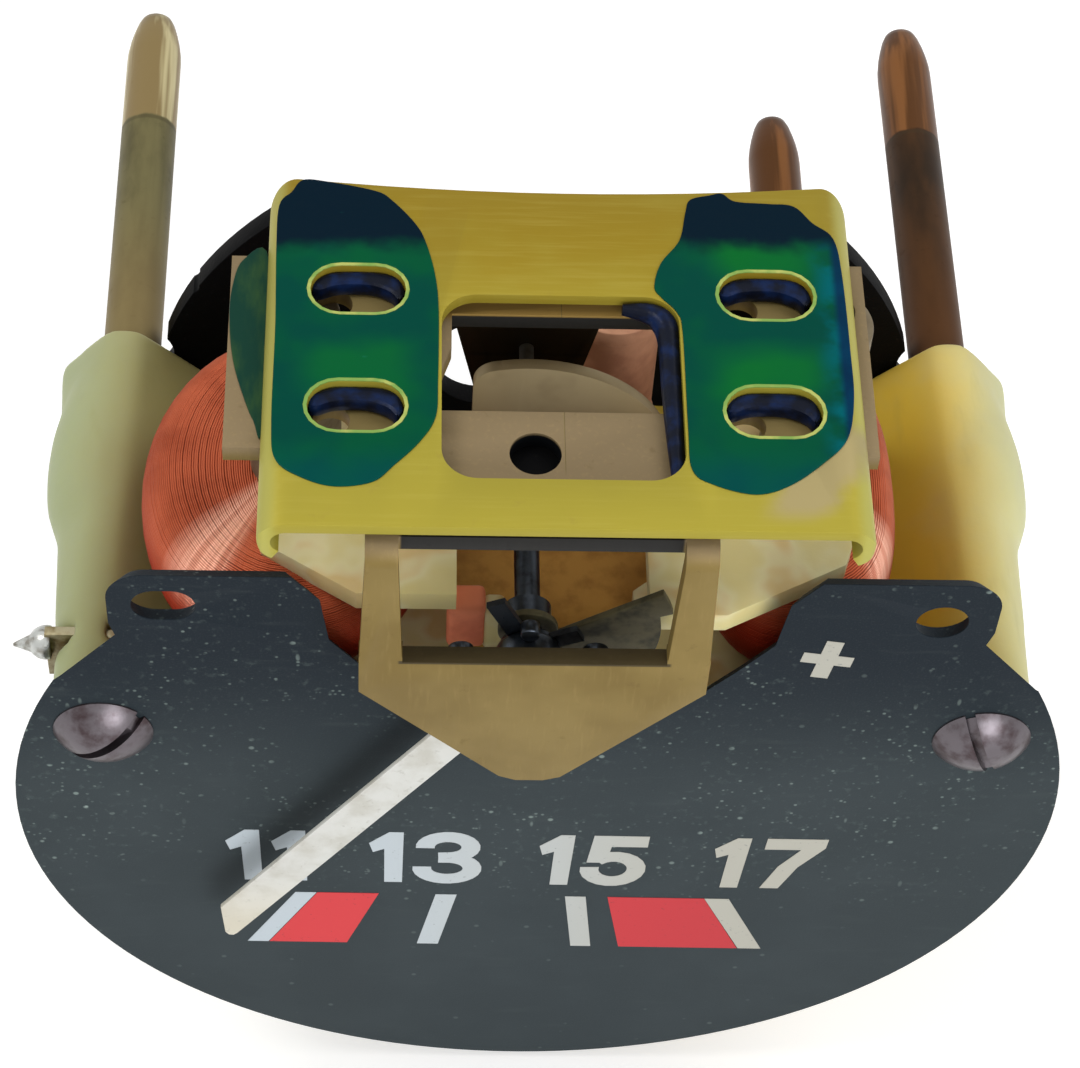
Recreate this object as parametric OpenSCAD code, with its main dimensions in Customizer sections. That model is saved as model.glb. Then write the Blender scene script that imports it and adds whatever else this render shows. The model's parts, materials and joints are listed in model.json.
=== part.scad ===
// Movement and dial of a car voltmeter, out of its can.
// A two-coil moving-iron meter: two formers stand on a yoke behind the dial, their iron
// cores carry a bent bracket, and the bracket's front shield and rear tongue hold the
// spindle with its pointer. Three plug pins stand out at the back.
// X points right, Y points to the back and Z points up. The origin is the centre of the
// dial's round edge, on the dial's front face.

/* [Dial] */
// Radius of the dial's round edge
dial_r = 26; // [24:0.5:32]
// Thickness of the dial plate
dial_t = 0.8; // [0.5:0.1:1.2]
// Height of the dial's shoulders above the spindle, where the round edge ends
shoulder_z = -4.4; // [-6:0.2:-3]
// Half width over the two ears
ear_x = 20.5; // [19.6:0.1:21.5]
// Height of the ears above the spindle
ear_top = 4.15; // [3.6:0.05:5]
// Radius of the ears' outer corners
ear_corner_r = 1.8; // [1:0.1:2]
// Distance of the ear holes from the middle
ear_hole_x = 17.9; // [17:0.1:18.4]
// Height of the round ear hole above the spindle
ear_hole_z = 1.2; // [0.8:0.1:1.8]
// Diameter of the round ear hole
ear_hole_d = 2.4; // [2:0.1:3]
// Height of the slotted ear hole above the spindle
ear_slot_z = 1.8; // [1.2:0.1:2]
// Width of the slotted ear hole
ear_slot_w = 2.2; // [1.8:0.1:2.6]
// Length of the slotted ear hole
ear_slot_len = 2.9; // [2.7:0.1:3.4]

/* [Dial screws] */
// Diameter of the screw heads
screw_head_d = 4.8; // [4:0.1:5.6]
// Height of the domed screw heads
screw_head_h = 1.3; // [0.9:0.1:1.8]
// Diameter of the screw shanks
screw_d = 2.3; // [2:0.1:2.6]
// Length of the shanks behind the dial's face
screw_len = 3.4; // [2.6:0.1:3.6]
// Width of the screwdriver slots
screw_slot_w = 0.7; // [0.5:0.05:1]
// Turn of the left screw's slot
slot_turn_left = 20; // [0:5:90]
// Turn of the right screw's slot
slot_turn_right = 62; // [0:5:90]

/* [Plug pins] */
// Distance of the two upper pins from the middle
pin_x = 21.26; // [20.8:0.02:21.6]
// Height of the upper pins above the spindle
pin_z = -8.65; // [-9.2:0.05:-8]
// Distance of the lower pin from the middle
low_pin_x = 14.6; // [13:0.1:15]
// Height of the lower pin above the spindle
low_pin_z = -16; // [-17:0.1:-15.8]
// Diameter of the pins
pin_d = 3; // [2.5:0.1:3.4]
// Distance of the pin tips from the dial's face
pin_tip_y = 48.1; // [40:0.1:56]
// Distance of the pins' inner ends from the dial's face
pin_root_y = 3.9; // [3.8:0.1:4.4]
// Diameter of the pins' roots inside the moulding
pin_root_d = 2.2; // [2:0.1:2.4]

/* [Moulded frame] */
// Distance of the towers' rear ends from the dial's face
tower_end_y = 23.5; // [22.6:0.1:25]
// Height of the towers' ridge above the pins
ridge_rise = 2.35; // [2.1:0.05:2.8]
// Distance of the ridge from the middle at the towers' rear ends
ridge_rear_x = 21.75; // [21.5:0.05:22.1]
// Distance of the ridge from the middle at the dial
ridge_front_x = 22.3; // [21.9:0.05:22.5]
// Half width over the towers at the dial
tower_front_x = 23.7; // [23.4:0.1:24.5]
// Half width over the towers at their rear ends
tower_rear_x = 25; // [24.4:0.1:25.4]
// Slope of the ridge's inner face
inner_slope = 45; // [42:1:48]
// Slope of the ridge's outer face
outer_slope = 51; // [47:1:56]
// Distance of the step in the towers from the dial's face
tower_step_y = 8.7; // [7:0.1:10]
// Radius of the swelling on the towers' outer sides
swell_r = 3.05; // [2.7:0.05:3.3]
// Distance of the swelling's widest place from the dial's face
swell_y = 15.5; // [14:0.5:17]
// Thickness of the frame's front wall
wall_t = 2; // [1.4:0.1:2.6]
// Radius of the frame's front wall
wall_r = 24.2; // [22:0.1:24.6]
// Depth of the rim round the front wall
rim_depth = 5; // [3:0.5:8]
// Thickness of the rim
rim_t = 1.5; // [1:0.1:2]
// Thickness of the shelf that carries the coils
shelf_t = 2; // [1.6:0.1:2.4]
// Distance of the shelf's rear edge from the dial's face
shelf_end_y = 20; // [18.6:0.1:20.4]
// Radius of the two posts that carry the rear plate
post_r = 2.6; // [2.2:0.1:3.2]
// Distance of the posts from the middle
post_x = 12.5; // [10.5:0.1:13.5]
// Height of the posts above the spindle
post_z = -27; // [-29:0.1:-25]

/* [Rear plate] */
// Radius of the rear plate
rear_r = 20.2; // [18.4:0.1:21]
// Height of the rear plate's centre above the spindle
rear_z = -13.2; // [-14.5:0.1:-12.5]
// Height of the rear plate's flat top above the spindle
rear_flat_z = 2.3; // [1:0.1:3.5]
// Thickness of the rear plate
rear_t = 1.2; // [0.8:0.1:1.6]
// Width of the rear plate's window
rear_win_w = 10.8; // [9.4:0.1:12]
// Height of the rear plate's window
rear_win_h = 6.6; // [5.6:0.1:8]
// Height of the window's centre above the spindle
rear_win_z = -9.1; // [-10:0.1:-8.6]

/* [Bracket] */
// Thickness of the bracket's sheet
sheet_t = 0.9; // [0.7:0.05:1]
// Height of the bracket's top face above the spindle
bracket_z = 10.9; // [10.4:0.1:12]
// Distance of the shield's front face from the dial's face, to the front
shield_y = 3.5; // [3.4:0.05:4]
// Left end of the bracket's top
bracket_left = -15; // [-16:0.1:-14.6]
// Right end of the bracket's top
bracket_right = 13.9; // [13.6:0.1:15]
// Front edge of the bracket's wide part
bracket_front = 2.1; // [1.8:0.1:2.6]
// Rear edge of the bracket's wide part
bracket_rear = 13.2; // [13:0.1:13.8]
// Width of each front leg at its foot
leg_foot_w = 1.95; // [1.6:0.05:2.2]
// Width of each front leg at its top
leg_top_w = 1.45; // [1.2:0.05:1.9]
// Width over the two legs and the shield
shield_w = 15.8; // [15:0.1:16.6]
// Height of the shield's upper edge above the spindle
shield_top = 2.6; // [2.2:0.1:3]
// Depth of the shield's point below the spindle
shield_tip = -7.2; // [-8:0.1:-6.4]
// Outer face of the rear tongue
tongue_y = 15.4; // [15.2:0.1:16]

/* [Calibration plate] */
// Width of the calibration plate
cal_w = 26.7; // [26:0.1:27.4]
// Front edge of the calibration plate
cal_front = -2.95; // [-3.3:0.05:-2.7]
// Rear edge of the calibration plate
cal_rear = 16.9; // [16.4:0.1:18]
// Height of the calibration plate's top over the bracket
cal_rise = 1.2; // [1.1:0.05:1.3]
// Thickness of the plate's sheet
cal_t = 0.6; // [0.5:0.05:0.7]
// Radius of the plate's rolled sides
cal_roll_r = 1.3; // [1.25:0.05:1.5]
// Width of the window in the plate
cal_win_w = 10.65; // [9.5:0.05:11]
// Front edge of the window
cal_win_front = -0.3; // [-0.6:0.05:0]
// Rear edge of the window
cal_win_rear = 10.1; // [9.6:0.05:10.2]
// Length of the four slots
slot_len = 4.3; // [3.6:0.1:4.8]
// Width of the four slots
slot_w = 2.75; // [2.2:0.05:3]
// Distance of the slots from the middle
slot_x = 9.2; // [8.8:0.1:9.6]
// Distance between the front and rear slots
slot_pitch = 6.7; // [5.5:0.1:7]

/* [Coils] */
// Distance of each iron core from the middle
core_x = 12.2; // [12:0.05:12.4]
// Distance of the iron cores from the dial's face
core_y = 10.5; // [10.2:0.1:10.8]
// Diameter of the iron cores
core_d = 4.4; // [3.8:0.1:4.8]
// Height of the formers' top face above the spindle
former_top = 0.3; // [0:0.1:0.5]
// Thickness of the formers' flanges
flange_t = 1.2; // [1:0.1:1.4]
// Distance of the left flanges' outer edge from the middle
flange_left_x = 13.75; // [13.5:0.05:14.4]
// Distance of the right flanges' outer edge from the middle
flange_right_x = 14.2; // [13.7:0.05:14.4]
// Height of the windings
wind_h = 7.2; // [6.6:0.1:7.6]
// Width of the left winding
wind_left_w = 14.5; // [12.5:0.1:14.7]
// Depth of the left winding
wind_left_d = 18.4; // [16.5:0.1:18.6]
// Width of the right winding
wind_right_w = 9.7; // [9.2:0.1:10.4]
// Depth of the right winding
wind_right_d = 15.8; // [15:0.1:17]
// Diameter of the wire in the outer layer
wire_d = 0.4; // [0.3:0.02:0.44]
// Number of loops in each outer layer
loops = 7; // [4:1:7]
// Thickness of the lower yoke
yoke_t = 1.5; // [1.2:0.1:1.8]

/* [Spindle and pointer] */
// Distance of the spindle from the dial's middle
spindle_x = -1.2; // [-1.6:0.1:-0.8]
// Height of the spindle above the centre of the dial's round edge
spindle_z = 15.8; // [15.6:0.1:16]
// Diameter of the spindle
spindle_d = 1.2; // [1:0.05:1.4]
// Diameter of the spindle's pivots
pivot_d = 0.6; // [0.5:0.02:0.7]
// Length of the pointer from the spindle
pointer_len = 28; // [24:0.5:30]
// Width of the pointer at its root
pointer_root_w = 2.3; // [1.8:0.1:2.6]
// Width of the pointer at its tip
pointer_tip_w = 1.7; // [1.2:0.1:2]
// Thickness of the pointer
pointer_t = 0.25; // [0.2:0.01:0.3]
// Angle of the pointer to the left of straight down at rest
rest_angle = 32.4; // [30:0.2:34]
// Swing of the pointer from rest to its upper stop
swing = 60; // [50:1:60]
// Radius of the iron vane's rim
vane_rim_r = 7.1; // [6.6:0.1:7.3]
// Thickness of the iron vane
vane_t = 0.6; // [0.4:0.05:0.8]

/* [Clearances] */
// Radial play between a pivot and its bearing
pivot_play = 0.03; // [0.02:0.01:0.08]
// Radial play between a fixed piece and its seat
fit_play = 0.02; // [0.01:0.01:0.05]
// Gap between the pointer and the shield
pointer_gap = 0.15; // [0.1:0.01:0.2]

/* [Hidden] */

$fn = 64;
eps = 0.01;

// Heights of the coil stack, from the shelf up
wind_top = former_top - flange_t;
wind_bottom = wind_top - wind_h;
former_bottom = wind_bottom - flange_t;
shelf_top = former_bottom - yoke_t;
shelf_bottom = shelf_top - shelf_t;
bracket_under = bracket_z - sheet_t;

// Front to back places
wall_y = dial_t + wall_t;
shield_back = -shield_y + sheet_t;
pointer_y = shield_back + pointer_gap;
hub_y = pointer_y + pointer_t;
hub_len = 1.3;
balance_y = hub_y + hub_len;
balance_t = 0.3;
damper_y = 0.05;
damper_t = 0.35;
iron_vane_y = 10.9;
collet_y = 12.4;
collet_len = 0.9;
collet_r = 0.95;
tongue_front = tongue_y - sheet_t;
bearing_screw_front = 13.6;
bearing_screw_back = 18.2;
bearing_screw_r = 1.2;
spindle_front = shield_back + 0.1;
spindle_back = bearing_screw_front - 0.2;

// Shared small sizes
rivet_r = 1.2;
yoke_screw_r = 1.1;
yoke_screw_ys = [6, 15];
rear_screw_r = 1;
sink_h = 0.9;
tag_y = 4.2;
tag_t = 0.5;
stop_r = 0.35;
left_x = -12.45;
right_x = 12.15;
left_draw = [1.4, 2.4];
right_draw = [0.8, 1];
resistor_x = 3.4;
resistor_y = 19.6;
resistor_r = 2.5;
resistor_foot = former_bottom + 0.7;

// Dial notch, right half, from the ear's top to behind the shield
notch = [[12.05, ear_top + 1], [12.05, ear_top], [10.75, 2.4], [10.35, -0.8], [8.7, -3.1], [6.8, -5.5]];

function mirrored(pts) = [for (i = [len(pts) - 1:-1:0]) [-pts[i].x, pts[i].y]];

// Lifts what is drawn about the spindle's height to its place
module raise() {
    translate([0, 0, spindle_z]) children();
}

// Extrudes an outline drawn in X and Z from y0 towards the back
module slab(y0, t) {
    translate([0, y0 + t, 0]) rotate([90, 0, 0]) linear_extrude(t) children();
}

// Round bar along Y from y0 to y1
module bar(x, z, y0, y1, r) {
    translate([x, y0, z]) rotate([-90, 0, 0]) cylinder(h = y1 - y0, r = r);
}

// Turned shape along Y, from a profile of radius against distance from the dial's face
module turned(x, z) {
    translate([x, 0, z]) rotate([-90, 0, 0]) rotate_extrude() children();
}

module rounded_rect(w, h, r) {
    square([w - 2 * r, h], center = true);
    square([w, h - 2 * r], center = true);
    for (sx = [-1, 1], sy = [-1, 1])
        translate([sx * (w / 2 - r), sy * (h / 2 - r)]) circle(r);
}

module obround(len, w) {
    square([len - w, w], center = true);
    for (s = [-1, 1]) translate([s * (len - w) / 2, 0]) circle(w / 2);
}

// Outline of the dial: a round lower part, two shoulders and two ears round a notch
module dial_outline() {
    shoulder_x = sqrt(pow(dial_r, 2) - pow(shoulder_z + spindle_z, 2));
    difference() {
        union() {
            intersection() {
                translate([0, -spindle_z]) circle(dial_r, $fn = 180);
                translate([-dial_r, -2 * dial_r]) square([2 * dial_r, 2 * dial_r + shoulder_z]);
            }
            for (s = [0, 1]) mirror([s, 0]) {
                polygon([[0, shoulder_z - 1], [shoulder_x - 0.05, shoulder_z - eps],
                    [ear_x - 0.25, -0.6], [ear_x, 0.4], [ear_x, ear_top - ear_corner_r],
                    [ear_x - ear_corner_r, ear_top], [0, ear_top]]);
                translate([ear_x - ear_corner_r, ear_top - ear_corner_r]) circle(ear_corner_r);
            }
        }
        polygon(concat(notch, mirrored(notch)));
        translate([ear_hole_x, ear_hole_z]) circle(d = ear_hole_d);
        translate([-ear_hole_x, ear_slot_z]) obround(ear_slot_len, ear_slot_w);
        for (s = [-1, 1]) translate([s * pin_x, pin_z]) circle(screw_d / 2 + 0.15);
    }
}

module dial_plate() {
    color("#2f3c42") raise() slab(0, dial_t) dial_outline();
}

// One domed, slotted screw with its shank along Y
module dial_screw(x, turn) {
    head_r = screw_head_d / 2;
    dome_r = (pow(head_r, 2) + pow(screw_head_h - 0.3, 2)) / (2 * (screw_head_h - 0.3));
    translate([x, 0, pin_z]) {
        difference() {
            rotate([90, 0, 0]) {
                intersection() {
                    cylinder(h = screw_head_h, r = head_r);
                    translate([0, 0, screw_head_h - dome_r]) sphere(dome_r, $fn = 96);
                }
            }
            rotate([0, -turn, 0])
                translate([-head_r - 1, -screw_head_h - 1, -screw_slot_w / 2])
                    cube([screw_head_d + 2, 1.7, screw_slot_w]);
        }
        rotate([-90, 0, 0]) cylinder(h = screw_len, d = screw_d);
    }
}

module dial_screws() {
    color("#6b5d5c") raise() {
        dial_screw(-pin_x, slot_turn_left);
        dial_screw(pin_x, slot_turn_right);
    }
}

// Thin cross-section of a tower at y: a roof with its ridge over the pin, reaching out to outer_x.
// All its faces stand out by grow.
module tower_section(y, ridge_x, outer_x, grow) {
    ridge_z = pin_z + ridge_rise + grow;
    shoulder_x = ridge_x - 1.1;
    eaves_x = outer_x + grow;
    inner_x = 16.6;
    slab(y, eps)
        polygon([[shoulder_x, ridge_z - 0.2], [ridge_x - 0.35, ridge_z], [ridge_x + 0.35, ridge_z],
            [ridge_x + 0.8, ridge_z - 0.25],
            [eaves_x, ridge_z - 0.25 - tan(outer_slope) * (eaves_x - ridge_x - 0.8)],
            [eaves_x, shelf_bottom], [inner_x, shelf_bottom],
            [inner_x, ridge_z - 0.2 - tan(inner_slope) * (shoulder_x - inner_x)]]);
}

// Right-hand tower: the roof widens to the back from a step, with a swelling on its outer side
module tower() {
    t = (tower_step_y - dial_t) / (tower_end_y - dial_t);
    step_ridge = ridge_front_x + t * (ridge_rear_x - ridge_front_x);
    step_outer = tower_front_x + t * (tower_rear_x - tower_front_x);
    hull() {
        tower_section(dial_t, ridge_front_x, tower_front_x, 0);
        tower_section(tower_end_y - eps, ridge_rear_x, tower_rear_x, 0);
    }
    hull() {
        tower_section(dial_t, ridge_front_x, tower_front_x, 0.12);
        tower_section(tower_step_y - eps, step_ridge, step_outer, 0.12);
    }
    intersection() {
        turned(22.1, pin_z - 0.55) polygon([[0, swell_y - 5], [swell_r - 1.6, swell_y - 4.6],
            [swell_r - 0.9, swell_y - 3.8], [swell_r - 0.35, swell_y - 3], [swell_r - 0.08, swell_y - 1.8],
            [swell_r, swell_y - 0.4], [swell_r, swell_y + 0.8], [swell_r - 0.15, swell_y + 2.4],
            [swell_r - 0.45, swell_y + 4], [swell_r - 0.95, swell_y + 6], [swell_r - 1.55, tower_end_y],
            [0, tower_end_y]]);
        translate([22.1, 0, pin_z - 10]) cube([10, 40, 20]);
    }
}

module frame_moulding() {
    color("#d5cf9a") raise() difference() {
        union() {
            // Front wall and rim behind the lower part of the dial
            intersection() {
                union() {
                    bar(0, -spindle_z, dial_t, wall_y, wall_r);
                    difference() {
                        bar(0, -spindle_z, wall_y - eps, wall_y + rim_depth, wall_r);
                        bar(0, -spindle_z, wall_y - 1, wall_y + rim_depth + 1, wall_r - rim_t);
                    }
                }
                translate([-dial_r, 0, -spindle_z - dial_r])
                    cube([2 * dial_r, 20, dial_r + spindle_z + shelf_top]);
            }
            // Shelf under the coils, with a step to the back for the resistor
            translate([-17, dial_t, shelf_bottom]) cube([34, shelf_end_y - dial_t, shelf_t]);
            translate([0.8, shelf_end_y - 1, shelf_bottom])
                cube([7, resistor_y + resistor_r + 0.6 - shelf_end_y + 1, shelf_t]);
            tower();
            mirror([1, 0, 0]) tower();
            // Posts for the rear plate, each with a rib up to the shelf
            for (s = [-1, 1]) {
                bar(s * post_x, post_z, dial_t, tower_end_y, post_r);
                translate([s * post_x - 0.6, dial_t, post_z]) cube([1.2, 11, shelf_bottom - post_z + eps]);
            }
            // Boss of the lower pin
            bar(low_pin_x, low_pin_z, dial_t, tower_end_y, pin_d / 2 + 1.5);
        }
        // Pin bores, screw holes and the slot of the solder tag
        for (s = [-1, 1]) {
            bar(s * pin_x, pin_z, pin_root_y - 0.1, tower_end_y + 1, pin_root_d / 2 + fit_play);
            bar(s * pin_x, pin_z, -1, pin_root_y, screw_d / 2 + fit_play);
            bar(s * post_x, post_z, tower_end_y - 5, tower_end_y + 1, rear_screw_r + fit_play);
        }
        bar(low_pin_x, low_pin_z, pin_root_y - 0.1, tower_end_y + 1, pin_root_d / 2 + fit_play);
        translate([-pin_x - 6, tag_y - 0.1, pin_z - 1.85]) cube([7.85, tag_t + 0.2, 3.9]);
        for (y = yoke_screw_ys)
            translate([0, y, shelf_bottom - 1]) cylinder(h = shelf_t + 2, r = yoke_screw_r + fit_play);
        for (s = [-1, 1])
            translate([resistor_x + s * 1.2, resistor_y, shelf_top - 1.2]) cylinder(h = 3, r = 0.37);
    }
}

// One plug pin: a thinner root, a shoulder on the moulding's end and a bullet nose
module plug_pin(x, z) {
    r = pin_d / 2;
    root_r = pin_root_d / 2;
    nose = 1.5 * r;
    raise() turned(x, z) polygon(concat([[0, pin_root_y], [root_r - 0.2, pin_root_y],
        [root_r, pin_root_y + 0.2], [root_r, tower_end_y], [r, tower_end_y]],
        [for (a = [0:10:80]) [r * cos(a), pin_tip_y - nose + nose * sin(a)]], [[0, pin_tip_y]]));
}

module terminal_pin_left() {
    color("#8b7c52") plug_pin(-pin_x, pin_z);
}

module terminal_pin_right() {
    color("#7a532f") plug_pin(pin_x, pin_z);
}

module terminal_pin_lower() {
    color("#7a532f") plug_pin(low_pin_x, low_pin_z);
}

// Tag round the left pin, led out through the tower's side
module solder_tag() {
    color("#8f8a6e") raise() slab(tag_y, tag_t) difference() {
        union() {
            translate([-pin_x, pin_z]) circle(pin_root_d / 2 + 0.6);
            translate([-pin_x - 3, pin_z - 1.5]) square([2.1, 3.4]);
        }
        translate([-pin_x, pin_z]) circle(pin_root_d / 2 + fit_play);
    }
}

// Solder on the tag's end, drawn out to a point
module solder_joint() {
    color("#a9a99c") raise() difference() {
        translate([-pin_x - 3, tag_y + tag_t / 2, pin_z + 0.9]) {
            sphere(0.85, $fn = 32);
            rotate([0, -98, 0]) cylinder(h = 1.6, r1 = 0.75, r2 = 0.08, $fn = 32);
        }
        translate([-pin_x - 3 - eps, tag_y - eps, pin_z - 1.6])
            cube([4, tag_t + 2 * eps, 3.6]);
        translate([-pin_x - 2.76, 0, pin_z - 5]) cube([4, 20, 10]);
    }
}

// Outline of the bracket's flat top, drawn in X and Y
module bracket_top_outline() {
    win_left = -6.2;
    win_right = 5.9;
    win_front = 4.35;
    win_rear = 9.95;
    shield_l = spindle_x + 0.15 - shield_w / 2;
    difference() {
        union() {
            translate([bracket_left, bracket_front])
                square([bracket_right - bracket_left, bracket_rear - bracket_front]);
            translate([shield_l + 0.25, shield_back])
                square([shield_w - 0.5, bracket_front - shield_back + 1]);
            translate([spindle_x - 3.7, bracket_rear - 1]) square([7.4, tongue_y - bracket_rear + 1]);
        }
        difference() {
            translate([(win_left + win_right) / 2, (win_front + win_rear) / 2])
                rounded_rect(win_right - win_left, win_rear - win_front, 0.8);
            // Drawn-in rear left corner
            polygon([[win_left - 1, 5.4], [win_left + 0.35, 5.6], [win_left + 0.75, 6.6],
                [win_left + 1.22, 8.05], [win_left + 1.25, 11], [win_left - 1, 11]]);
        }
        // Sight hole
        translate([spindle_x - 0.1, 2]) circle(1.15);
        // Round holes under the calibration slots
        for (s = [-1, 1], j = [0, 1])
            translate([s * slot_x - 1.1, cal_mid_y() - slot_pitch / 2 + j * slot_pitch + 0.1]) circle(0.85);
        for (s = [-1, 1]) translate([s * core_x, core_y]) circle(rivet_r + fit_play);
    }
}

function cal_mid_y() = (cal_front + cal_rear) / 2 - 0.05;

// Outline of the shield and its legs, drawn in X and Z
module shield_outline() {
    mid = spindle_x + 0.15;
    half = shield_w / 2;
    foot = shield_top + 0.4;
    difference() {
        union() {
            polygon([[mid - half, foot], [mid - half, 0.2], [mid - 1.3, shield_tip + 0.35],
                [mid - 0.5, shield_tip], [mid + 0.8, shield_tip], [mid + 1.6, shield_tip + 0.3],
                [mid + half, 0.3], [mid + half, foot]]);
            for (s = [-1, 1])
                polygon([[mid + s * half, foot - 1], [mid + s * (half - leg_foot_w), foot - 1],
                    [mid + s * (half - 0.25 - leg_top_w), bracket_z - 1.2],
                    [mid + s * (half - 0.25), bracket_z - 1.2]]);
        }
        translate([mid, shield_top + 2]) square([2 * (half - leg_foot_w) - 0.6, 4], center = true);
        translate([mid - half + leg_foot_w, shield_top]) square([2 * (half - leg_foot_w), 4]);
    }
}

// Bent sheet: flat top, two front legs with the pointed shield, and a rear tongue
module bearing_bracket() {
    bend_r = 1.2;
    mid = spindle_x + 0.15;
    half = shield_w / 2 - 0.25;
    color("#97814f") raise() difference() {
        union() {
            difference() {
                translate([0, 0, bracket_under]) linear_extrude(sheet_t) bracket_top_outline();
                translate([mid - half - 1, -shield_y - 1, bracket_under - 1])
                    cube([2 * half + 2, 1 + bend_r, sheet_t + 2]);
            }
            translate([mid - half + leg_top_w, shield_back, bracket_under])
                cube([2 * (half - leg_top_w), bend_r, sheet_t]);
            slab(-shield_y, sheet_t) shield_outline();
            // Bends between the top and the legs
            for (s = [-1, 1])
                translate([mid + s * (half - leg_top_w / 2), 0, 0])
                    intersection() {
                        translate([-leg_top_w / 2, -shield_y, bracket_z - bend_r])
                            rotate([0, 90, 0]) rotate([0, 0, 90]) leg_bend(bend_r);
                        translate([-leg_top_w / 2, -shield_y, bracket_z - bend_r])
                            cube([leg_top_w, bend_r + eps, bend_r]);
                    }
            // Rear tongue, tapered towards the bearing
            slab(tongue_front, sheet_t) polygon([[spindle_x - 3.7, bracket_under + eps],
                [spindle_x - 3.7, 6], [spindle_x - 2.1, -1.6], [spindle_x - 1.2, -2.6],
                [spindle_x + 1.2, -2.6], [spindle_x + 2.1, -1.6], [spindle_x + 3.7, 6],
                [spindle_x + 3.7, bracket_under + eps]]);
        }
        bar(spindle_x, 0, tongue_front - 1, tongue_y + 1, bearing_screw_r + fit_play);
        bar(spindle_x, 0, shield_back - 0.5, shield_back + 1, 1 + fit_play);
    }
}

// Quarter of a bent strip, extruded along its first axis
module leg_bend(r) {
    linear_extrude(leg_top_w) translate([r, 0]) difference() {
        circle(r);
        circle(r - sheet_t);
    }
}

// Right half of the calibration plate's section, in X and Z: flat sheet with a side rolled down
// and in as far as the given angle below the horizontal
module cal_section(curl) {
    half = cal_w / 2;
    top = bracket_z + cal_rise;
    roll = [half - cal_roll_r, top - cal_roll_r];
    translate([-eps, top - cal_t]) square([half - cal_roll_r + 2 * eps, cal_t]);
    intersection() {
        translate(roll) difference() {
            circle(cal_roll_r);
            circle(cal_roll_r - cal_t);
        }
        translate(roll) polygon([[0, 0], [0, 3], [3, 3], [3, 0], 3 * [cos(curl), -sin(curl)]]);
    }
}

// Plate with rolled sides, a large window and four slots, locked over the bracket
module calibration_plate() {
    depth = cal_rear - cal_front;
    color("#b3a43c") raise() difference() {
        intersection() {
            for (s = [0, 1]) mirror([s, 0, 0]) {
                // The roll stands on the bracket's wing, and curls in before and behind it
                slab(cal_front, depth) intersection() {
                    cal_section(10);
                    translate([-1, bracket_z]) square([20, 5]);
                }
                slab(cal_front, bracket_front - 0.2 - cal_front) cal_section(60);
                slab(bracket_rear + 0.2, cal_rear - bracket_rear - 0.2) cal_section(60);
            }
            translate([0, (cal_front + cal_rear) / 2, bracket_z - 3])
                linear_extrude(8) {
                    translate([0, 2]) rounded_rect(cal_w, depth - 4, 1.2);
                    translate([0, -2]) rounded_rect(cal_w, depth - 4, 0.3);
                }
        }
        translate([-0.12, (cal_win_front + cal_win_rear) / 2, bracket_z - 1])
            linear_extrude(4) rounded_rect(cal_win_w, cal_win_rear - cal_win_front, 1.6);
        for (s = [-1, 1], j = [0, 1])
            translate([s * slot_x, cal_mid_y() - slot_pitch / 2 + j * slot_pitch, bracket_z - 1])
                linear_extrude(4) obround(slot_len, slot_w);
    }
}

// Outline of a former's flange on the right-hand side, with cut corners, reaching out to outer_x
module flange_outline(outer_x) {
    polygon([[4.5, 1.2], [6.2, -0.45], [8.3, -0.45], [outer_x - 0.5, 3.5], [outer_x, 5],
        [outer_x, 15.4], [outer_x - 1.8, 18], [9.8, 18], [8.4, 12.6], [7.2, 10.4], [4.5, 8.2]]);
}

// Former on the right-hand side, with a flange above and below the winding
module former(outer_x) {
    difference() {
        union() {
            translate([0, 0, wind_top]) linear_extrude(flange_t) flange_outline(outer_x);
            translate([0, 0, former_bottom]) linear_extrude(flange_t) intersection() {
                flange_outline(outer_x);
                translate([0, 2.4]) square([40, 40]);
            }
            translate([core_x, core_y, wind_bottom - eps])
                linear_extrude(wind_h + 2 * eps) rounded_rect(5.8, 11.2, 2);
        }
        translate([core_x, core_y, former_bottom - 1])
            cylinder(h = former_top - former_bottom + 2, r = core_d / 2 + fit_play);
    }
}

module coil_former_left() {
    color("#d9cfa0") raise() mirror([1, 0, 0]) former(flange_left_x);
}

module coil_former_right() {
    color("#d9cfa0") raise() former(flange_right_x);
}

// Point on a winding's outline, a superellipse of width w and depth d
function oval(w, d, power, a) = [
    w / 2 * sign(cos(a)) * pow(abs(cos(a)), 2 / power),
    d / 2 * sign(sin(a)) * pow(abs(sin(a)), 2 / power)
];

// How far a winding's side draws in at height z, from its upper and lower draw
function belly(draw, z) =
    let (t = 2 * (z - wind_bottom) / wind_h - 1)
    t > 0 ? draw[0] * pow(t, 2.4) : draw[1] * t * t;

module oval_ring(w, d, power, inset) {
    polygon([for (a = [0:7.5:359]) oval(w - 2 * inset, d - 2 * inset, power, a)]);
}

// Copper mass under the outer layer, with rounded upper and lower edges
module copper_pack(x, w, d, power, draw) {
    seat = wire_d + 0.12;
    difference() {
        translate([x, core_y, 0]) hull()
            for (k = [0, 0.1, 0.25, 0.5, 0.75, 0.9, 1]) {
                z = wind_bottom + k * (wind_h - 0.02) + 0.005;
                translate([0, 0, z]) linear_extrude(0.01) oval_ring(w, d, power, seat + belly(draw, z));
            }
        translate([x > 0 ? core_x : -core_x, core_y, wind_bottom - 1])
            linear_extrude(wind_h + 2) rounded_rect(5.8 + 2 * fit_play, 11.2 + 2 * fit_play, 2);
    }
}

module winding_left() {
    color("#b0613a") raise() copper_pack(left_x, wind_left_w, wind_left_d, 2, left_draw);
}

module winding_right() {
    color("#b0613a") raise() copper_pack(right_x, wind_right_w, wind_right_d, 2.6, right_draw);
}

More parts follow.
